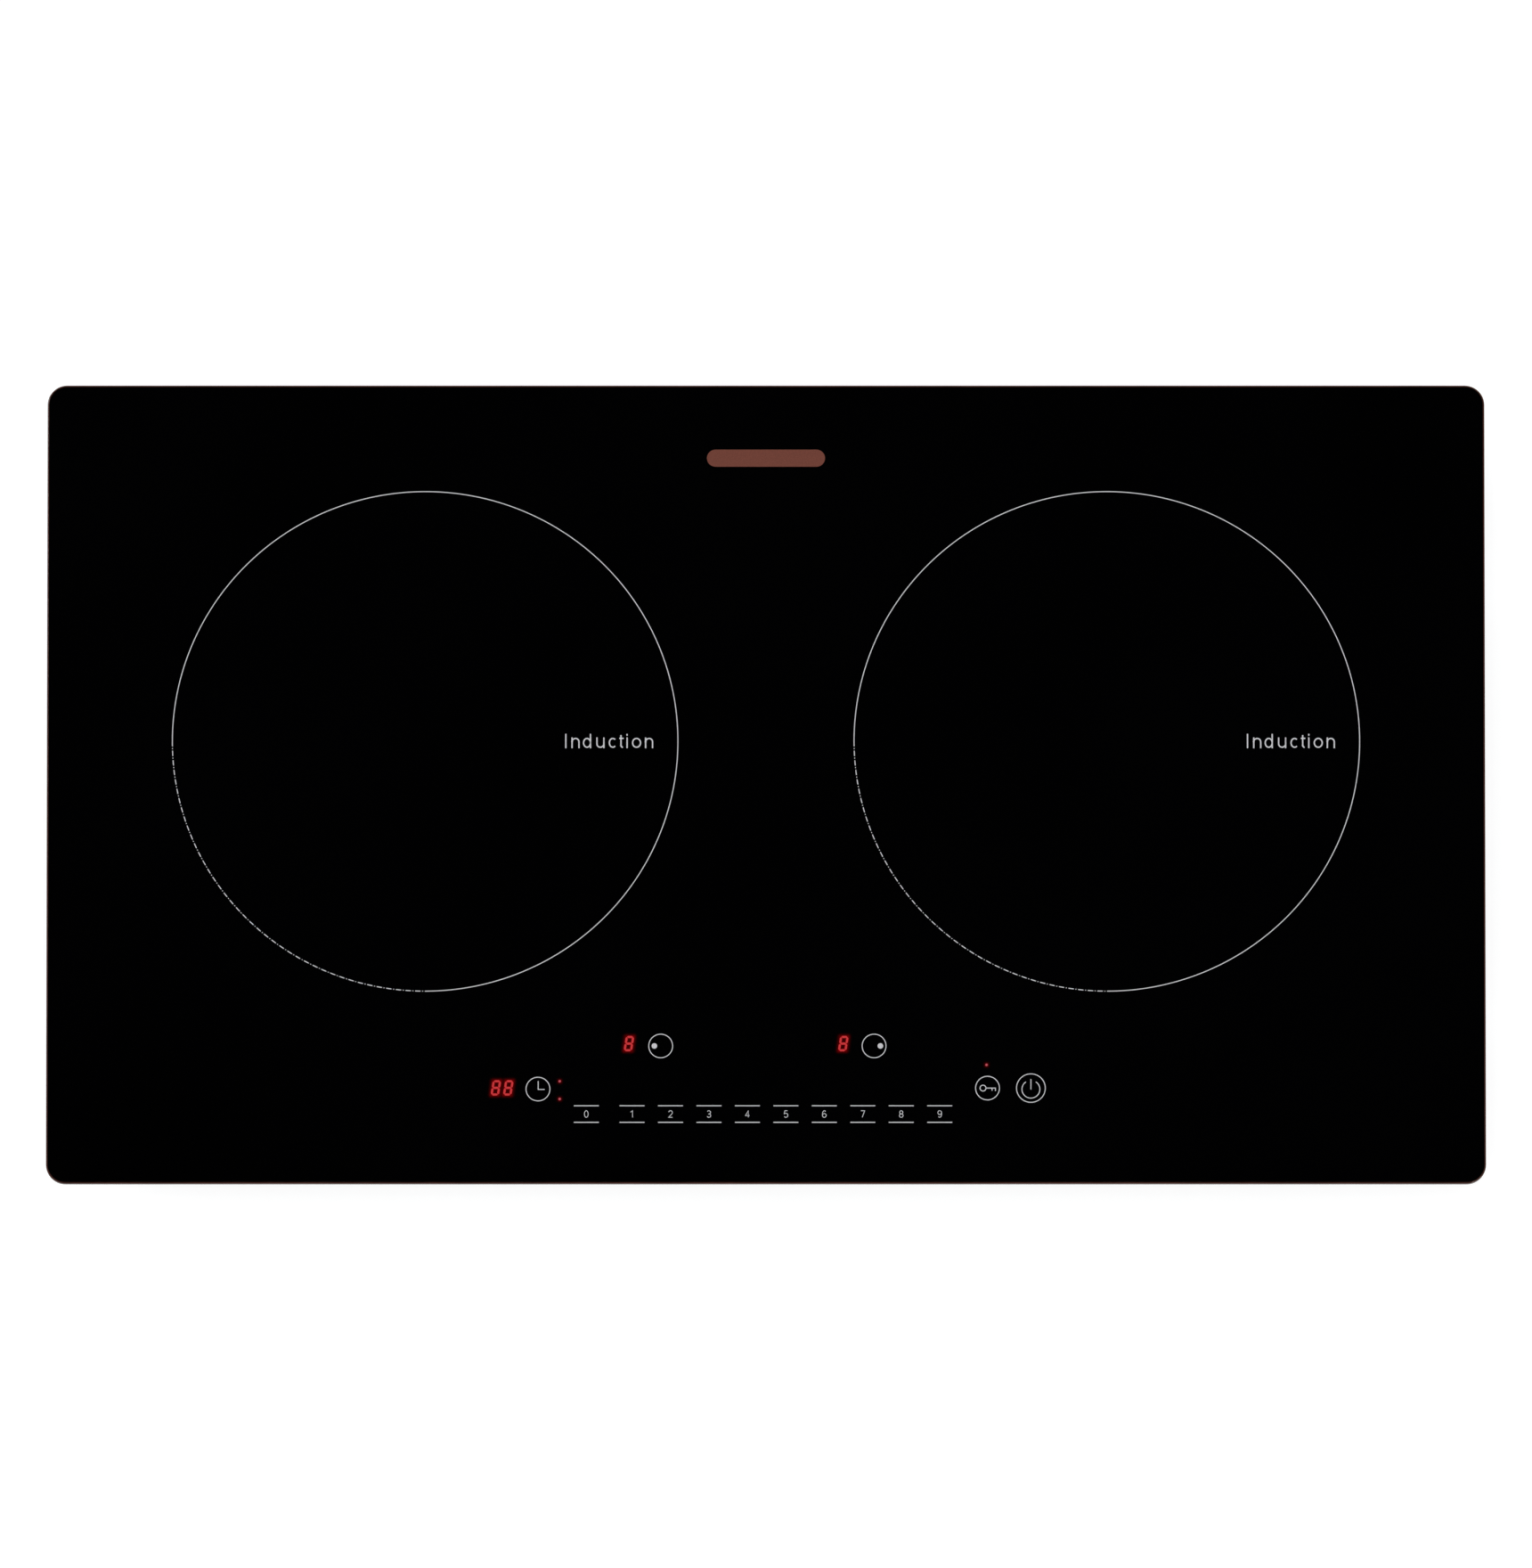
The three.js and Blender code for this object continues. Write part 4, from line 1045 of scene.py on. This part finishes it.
def ferrite_bars(side):
    """Eight flat bars in the pockets under the carrier, which guide the coil's field."""
    centre = middle(f"{side}_coil_carrier")
    low = BOX[f"{side}_coil_carrier"][0].z + 0.2 * MM
    inner, outer, half_wide, thick, count = 32 * MM, 95 * MM, 6.6 * MM, 2.5 * MM, 8
    solids = []
    for i in range(count):
        angle = 2 * math.pi * i / count
        way, across = Vector((math.cos(angle), math.sin(angle))), Vector((-math.sin(angle), math.cos(angle)))
        loops = []
        for inset, z in ((0.4, 0), (0, 0.4), (0, 2.1), (0.4, 2.5)):
            reach, wide = (outer - inner) / 2 - inset * MM, half_wide - inset * MM
            loop = rounded_loop(reach, wide, 1.2 * MM, low + z / 2.5 * thick, 3)
            loops.append([(*(Vector(centre[:2]) + way * (x + (inner + outer) / 2) + across * y), z)
                          for x, y, z in loop])
        solids.append(stitched(loops))
    piece(f"{side}_ferrite_bars", together(solids), "ferrite", body=f"{side}_coil_module",
          slot="black_plastic", smooth=35)


# ------------------------------------------------------------------ fan impeller
def impeller(side):
    """A moulded hub with seven curved, twisted blades."""
    name = f"{side}_fan_impeller"
    low, high = BOX[name]
    centre = middle(name)
    hub, tip, blades = 19 * MM, 41.5 * MM, 7
    hub_low = low.z + 4.1 * MM
    profile = [(1.6 * MM, low.z), (1.6 * MM, hub_low), (hub - 0.8 * MM, hub_low), (hub, hub_low + 0.8 * MM)]
    soft = 3 * MM
    for a in angles(0, 80, 6):
        profile.append((hub - soft * (1 - math.cos(a)), high.z - soft + soft * math.sin(a)))
    profile += [(hub - soft, high.z), (7 * MM, high.z)]
    profile += [(6.4 * MM, high.z - 0.6 * MM), (1.2 * MM, high.z - 0.6 * MM)]
    solids = [turned(profile, 56, (centre.x, centre.y, 0))]
    bottom, top = hub_low + 0.6 * MM, high.z - 0.8 * MM
    sections, points = 9, 12
    for blade in range(blades):
        loops = []
        for row in range(sections):
            out = row / (sections - 1)
            radius = hub - MM + (tip - hub + MM) * out
            base = 2 * math.pi * blade / blades + 0.35 * out ** 1.5
            lean = 0.72 - 0.28 * out
            upper, lower = [], []
            for i in range(points + 1):
                s = i / points
                angle = base + lean * (s - 0.5) + 0.10 * math.sin(math.pi * s)
                half = (0.25 + 0.55 * math.sin(math.pi * s)) * MM / radius
                z = bottom + (top - bottom) * s
                for half_angle, line in ((half, upper), (-half, lower)):
                    a = angle + half_angle
                    line.append((centre.x + radius * math.cos(a), centre.y + radius * math.sin(a), z))
            loops.append(upper + lower[::-1])
        solids.append(stitched(loops))
    piece(f"{side}_fan_rotor", together(solids), "black_plastic", body=f"{side}_impeller", stands_for=[name])


# ------------------------------------------------------------------ touch springs and small screws
def touch_springs():
    """A small spring under each printed key joins the control board to the glass."""
    board_top = BOX["control_board"][1].z
    places = {"timer": TIMER_KEY, "lock": LOCK_KEY, "power": POWER_KEY}
    places |= {f"{side}_zone": ZONE_KEYS[side] for side in SIDES}
    places |= {f"number_{i}": (number_key_x(i), KEYS["y"] * MM) for i in range(10)}
    for name, centre in places.items():
        path = helix(centre, 3.6 * MM, board_top + 0.05 * MM, GLASS_LOW.z - 0.05 * MM, 0.32 * MM, 4.0)
        piece(f"{name}_touch_spring", tube(path, 0.32 * MM, 6), "spring_steel", smooth=60)


def pan_head(centre, radius, low, thick):
    """A screw head that faces down, with a cross recess."""
    crown = thick * 0.55
    profile = [(radius - 0.1 * MM, low + thick), (radius, low + thick - 0.2 * MM), (radius, low + crown)]
    for a in angles(15, 82, 5):
        profile.append((radius * (0.3 + 0.7 * math.cos(a)), low + crown * (1 - math.sin(a))))
    head = loose(turned(profile, 28, (*centre, 0)))
    return crossed(head, centre, "z", radius * 0.55, radius * 0.13, low - MM, low + crown)


def floor_screws(side, sign):
    """Screw heads under the tray, which hold the fan and the toes of the coil's deck."""
    fan, zone = FAN_CENTRE[side], (sign * ZONE_X, ZONE_Y)
    places = [(fan[0] + dx * 40.5 * MM, fan[1] + dy * 40.5 * MM) for dx in (-1, 1) for dy in (-1, 1)]
    places += [(zone[0] + dx * 108.5 * MM, zone[1] + dy * 104 * MM) for dx in (-1, 1) for dy in (-1, 1)]
    thick, clear = 1.9 * MM, 0.05 * MM
    for number, place in enumerate(places, 1):
        head = pan_head(place, 3.2 * MM, TRAY_LOW.z - thick - clear, thick)
        named(head, f"{side}_floor_screw_{number}", "zinc_steel", smooth=35)


def terminal_screws():
    low, high = BOX["terminal_block"]
    poles, half_x, radius = 5, (high.x - low.x) / 2 - 2 * MM, 2.3 * MM
    pitch = 2 * half_x / poles
    y = centre_of("terminal_block")[1]
    for pole in range(poles):
        x = -half_x + (pole + 0.5) * pitch
        top = high.z - 3.4 * MM
        profile = [(radius - 0.3 * MM, top - 4.2 * MM), (radius, top - 3.9 * MM), (radius, top - 0.4 * MM),
                   (radius - 0.4 * MM, top)]
        slot = block((x - 3 * MM, y - 0.35 * MM, top - 1.1 * MM), (x + 3 * MM, y + 0.35 * MM, top + MM))
        solid = combined(loose(turned(profile, 24, (x, y, 0))), slot)
        named(solid, f"terminal_screw_{pole + 1}", "zinc_steel", smooth=35)


# ------------------------------------------------------------------ parts on the circuit boards
def draughted(centre, half_x, half_y, low, high, lean, corner=0.3 * MM):
    """A moulded block, a little narrower at its top, with rounded upper edges."""
    soft = min(0.25 * MM, (high - low) / 4)
    rows = ((0, low), (lean * 0.8, high - soft), (lean + soft * 0.3, high - soft * 0.3), (lean + soft, high))
    return stitched([rounded_loop(half_x - inset, half_y - inset, corner, z, 3, centre) for inset, z in rows])


def chip(name, centre, board_top, half_x, half_y, legs):
    """An integrated circuit: a moulded body over two rows of bent legs."""
    low, high = board_top + 0.25 * MM, board_top + 2.2 * MM
    piece(name, draughted(centre, half_x, half_y, low, high, 0.25 * MM), "black_plastic", smooth=30)
    reach, thick, half_wide = 1.7 * MM, 0.2 * MM, 0.2 * MM
    knee = (low + high) / 2
    solids = []
    for side in (-1, 1):
        for leg in range(legs):
            x = centre[0] + (leg - (legs - 1) / 2) * 2 * half_x / legs
            profile = [(-0.2 * MM, knee), (0.5 * MM, knee), (0.7 * MM, board_top), (reach, board_top),
                       (reach, board_top + thick), (0.9 * MM, board_top + thick), (0.7 * MM, knee + thick),
                       (-0.2 * MM, knee + thick)]
            outline = [(centre[1] + side * (half_y + out), z) for out, z in profile]
            solids.append(stitched([[(x + s * half_wide, y, z) for y, z in outline] for s in (-1, 1)]))
    piece(f"{name}_legs", together(solids), "spring_steel", smooth=30)


def chip_resistors(name, centre, board_top, columns, rows, pitch):
    """A patch of small surface-mounted parts in rows."""
    bodies, ends = [], []
    body_top, end_top, lean = board_top + 0.6 * MM, board_top + 0.63 * MM, 0.02 * MM
    for column in range(columns):
        for row in range(rows):
            x = centre[0] + (column - (columns - 1) / 2) * pitch
            y = centre[1] + (row - (rows - 1) / 2) * pitch * 0.8
            bodies.append(draughted((x, y), 0.75 * MM, 0.6 * MM, board_top, body_top, lean, 0.1 * MM))
            for side in (-1, 1):
                end = (x + side * 0.98 * MM, y)
                ends.append(draughted(end, 0.22 * MM, 0.62 * MM, board_top, end_top, lean, 0.08 * MM))
    piece(name, together(bodies), "black_plastic", smooth=30)
    piece(f"{name}_ends", together(ends), "spring_steel", smooth=30)


def wire_header(name, centre, board_top, half_x, half_y, height):
    """A connector that a lead ends in: a housing with a stepped opening towards the wires."""
    housing = loose(draughted(centre, half_x, half_y, board_top, board_top + height, 0.15 * MM, 0.5 * MM))
    x, y = centre
    well = block((x - half_x + MM, y - half_y + MM, board_top + 1.2 * MM),
                 (x + half_x - MM, y + half_y - MM, 1.0))
    named(combined(housing, well), name, "cream_plastic", smooth=30)


def electrolytic(name, centre, board_top, radius, height):
    """An aluminium can in a sleeve, with a rolled groove and a scored top."""
    profile = [(radius, 0), (radius, 1.2), (radius - 0.5 * MM, 1.7), (radius - 0.5 * MM, 2.1), (radius, 2.6)]
    profile = [(r, board_top + z * MM) for r, z in profile]
    top = board_top + height
    profile += [(radius, top - 0.8 * MM), (radius - 0.3 * MM, top - 0.2 * MM), (radius - 0.9 * MM, top),
                (radius - 1.2 * MM, top), (radius - 1.3 * MM, top - 0.3 * MM)]
    can = loose(turned(profile, 40, (*centre, 0)))
    can = crossed(can, centre, "z", radius * 0.55, 0.15 * MM, top - 0.6 * MM, top + MM)
    named(can, name, "black_plastic", smooth=35)


def board_parts():
    control_top = BOX["control_board"][1].z
    board = middle("control_board")
    chip("touch_controller", (board.x, board.y + 13 * MM), control_top, 6.5 * MM, 3.8 * MM, 14)
    chip("display_driver", (board.x - 62 * MM, board.y + 11 * MM), control_top, 5.2 * MM, 2.6 * MM, 10)
    chip_resistors("touch_resistors", (board.x + 26 * MM, board.y + 13 * MM), control_top, 6, 3, 3.4 * MM)
    for side, sign in SIDES.items():
        board_x, board_y, _ = centre_of(f"{side}_power_board")
        top = BOX[f"{side}_capacitor"][0].z - 0.3 * MM

        def at(x, y):
            return (board_x + sign * x * MM, board_y + y * MM)

        chip(f"{side}_inverter_controller", at(68, -50), top, 6.5 * MM, 3.8 * MM, 10)
        chip_resistors(f"{side}_gate_resistors", at(48, -54), top, 4, 3, 3.4 * MM)
        wire_header(f"{side}_coil_header", at(-13, -54), top, 6 * MM, 3.6 * MM, 6.5 * MM)
        wire_header(f"{side}_fan_header", at(10, 58), top, 4.6 * MM, 3.4 * MM, 6 * MM)
        wire_header(f"{side}_mains_header", at(-78, 41), top, 4.2 * MM, 6 * MM, 7 * MM)
        electrolytic(f"{side}_smoothing_capacitor", at(-26, 48), top, 6.3 * MM, 14 * MM)
        electrolytic(f"{side}_supply_capacitor", at(-8, 50), top, 4.2 * MM, 12 * MM)


# ------------------------------------------------------------------ CAD nodes that stay as they are
EDGE_ROUNDING = {
    "power_board": 0.15, "heat_sink": 0.25, "power_transistor": 0.3, "capacitor": 0.9, "choke": 0.9,
    "coil_deck": 0.2, "coil_carrier": 0.3, "mica_sheet": 0.08, "temperature_sensor": 0.25, "fan_frame": 0.4,
    "control_board": 0.15, "control_board_bracket": 0.35, "zone_display": 0.4, "timer_display": 0.4,
    "terminal_block": 0.5, "ribbon_cable": 0.08,
}


def refine(name, node):
    """Merges the node's split points and rounds its sharp edges, by modifiers."""
    kind = name.removeprefix("left_").removeprefix("right_")
    weld = node.modifiers.new("weld", "WELD")
    weld.merge_threshold = 0.002 * MM
    rounding = node.modifiers.new("round", "BEVEL")
    rounding.width = EDGE_ROUNDING[kind] * MM
    rounding.segments = 2
    rounding.limit_method = "ANGLE"
    rounding.angle_limit = math.radians(50)
    rounding.harden_normals = False
    shading = node.modifiers.new("even_normals", "WEIGHTED_NORMAL")
    shading.keep_sharp = False
    shading.weight = 80


def carried_over_nodes():
    slots = {part["node"]: part["material_slot"] for part in frame["record"]["subparts"]}
    for name, node in NODES.items():
        if node.hide_render:
            continue
        node.data.materials.clear()
        node.data.materials.append(LOOKS[slots[name]].material)
        refine(name, node)


# ------------------------------------------------------------------ stage, light and camera
def stage():
    reach = 60.0
    corners = [(-reach, -reach, 0), (reach, -reach, 0), (reach, reach, 0), (-reach, reach, 0)]
    mesh = bpy.data.meshes.new("floor")
    mesh.from_pydata(corners, [], [(0, 1, 2, 3)])
    look = surface("floor", (0.40, 0.40, 0.40), 0.8, ((3,), 0.995, 1.005)).glow((1, 1, 1), 0.72)
    mesh.materials.append(look.material)
    in_scene(mesh)


def sun(name, elevation, azimuth, strength, angle, glossy=False, diffuse=True):
    light = bpy.data.lights.new(name, "SUN")
    light.energy = strength
    light.angle = math.radians(angle)
    lamp = bpy.data.objects.new(name, light)
    e, a = math.radians(elevation), math.radians(azimuth)
    away = Vector((math.cos(e) * math.cos(a), math.cos(e) * math.sin(a), math.sin(e)))
    lamp.rotation_euler = away.to_track_quat("Z", "Y").to_euler()
    lamp.visible_glossy = glossy
    lamp.visible_diffuse = diffuse
    bpy.context.scene.collection.objects.link(lamp)


def studio():
    """Soft light from above that glossy surfaces don't mirror, and a pale surround that is dark overhead."""
    sun("overhead", 81, -90, 1.25, 30)
    sun("rear_left", 45, 150, 0.35, 40)
    sun("rear_left_glint", 40, 158, 0.9, 9, glossy=True, diffuse=False)
    sun("front_right_glint", 34, -66, 0.5, 9, glossy=True, diffuse=False)
    world = bpy.data.worlds.new("studio")
    bpy.context.scene.world = world
    world.use_nodes = True
    tree = world.node_tree
    background = tree.nodes["Background"].inputs
    background["Color"].default_value = (1, 1, 1, 1)
    rays = tree.nodes.new("ShaderNodeLightPath").outputs
    place = tree.nodes.new("ShaderNodeTexCoord").outputs["Generated"]
    way = add_node(tree, "SeparateXYZ", place, "Vector", {}).outputs

    def span(source, *limits):
        node = map_range(tree, source, *limits)
        node.interpolation_type = "SMOOTHSTEP"
        return node.outputs["Result"]

    def combine(operation, first, second):
        node = add_node(tree, "Math", first, 0, {})
        node.operation = operation
        if isinstance(second, float):
            node.inputs[1].default_value = second
        else:
            tree.links.new(second, node.inputs[1])
        return node.outputs[0]

    height = span(way["Z"], 0.30, 0.0, 0.0, 0.58)
    side = span(combine("SUBTRACT", way["Y"], way["X"]), 0.4, 1.0, -1.2, 1.2)
    glossy = combine("MULTIPLY", combine("MULTIPLY", height, side), rays["Is Glossy Ray"])
    scattered = combine("MULTIPLY", rays["Is Diffuse Ray"], 0.55)
    straight = combine("MAXIMUM", rays["Is Camera Ray"], scattered)
    tree.links.new(combine("MAXIMUM", straight, glossy), background["Strength"])


def camera():
    """A long lens above the user's edge, at the angle that shows the zone rings slightly wider than deep."""
    distance, elevation = 24.0, math.radians(81.1)
    frame_share = 1615.0 / 1760.0   # the plate's width as a share of the picture's longer side
    lens = bpy.data.cameras.new("camera")
    lens.sensor_width = 36.0
    lens.lens = distance * lens.sensor_width * frame_share / (2 * HALF_X)
    lens.clip_end = 200.0
    made = bpy.data.objects.new("camera", lens)
    target = Vector((0, 0, GLASS_HIGH.z))
    back = Vector((0, -math.cos(elevation), math.sin(elevation)))
    made.location = target + back * distance
    made.rotation_euler = back.to_track_quat("Z", "Y").to_euler()
    bpy.context.scene.collection.objects.link(made)
    bpy.context.scene.camera = made
    bpy.context.scene.view_settings.view_transform = "Standard"


camera()
stage()
studio()
glass_panel()
for side, sign in SIDES.items():
    zone_ring(side, sign)
    zone_word(side, sign)
number_keys()
touch_keys()
plain_mark()
displays()
lamps()
base_tray()
seal_and_bond()
cable_gland()
touch_springs()
terminal_screws()
board_parts()
for side, sign in SIDES.items():
    coil_springs(side)
    leads(side, sign)
    spiral_coil(side)
    ferrite_bars(side)
    impeller(side)
    floor_screws(side, sign)
    for end, end_sign in ENDS.items():
        foot(side, end)
        bracket(side, sign, end, end_sign)
        pan_head_screw(side, sign, end, end_sign)
carried_over_nodes()

bpy.context.view_layer.update()
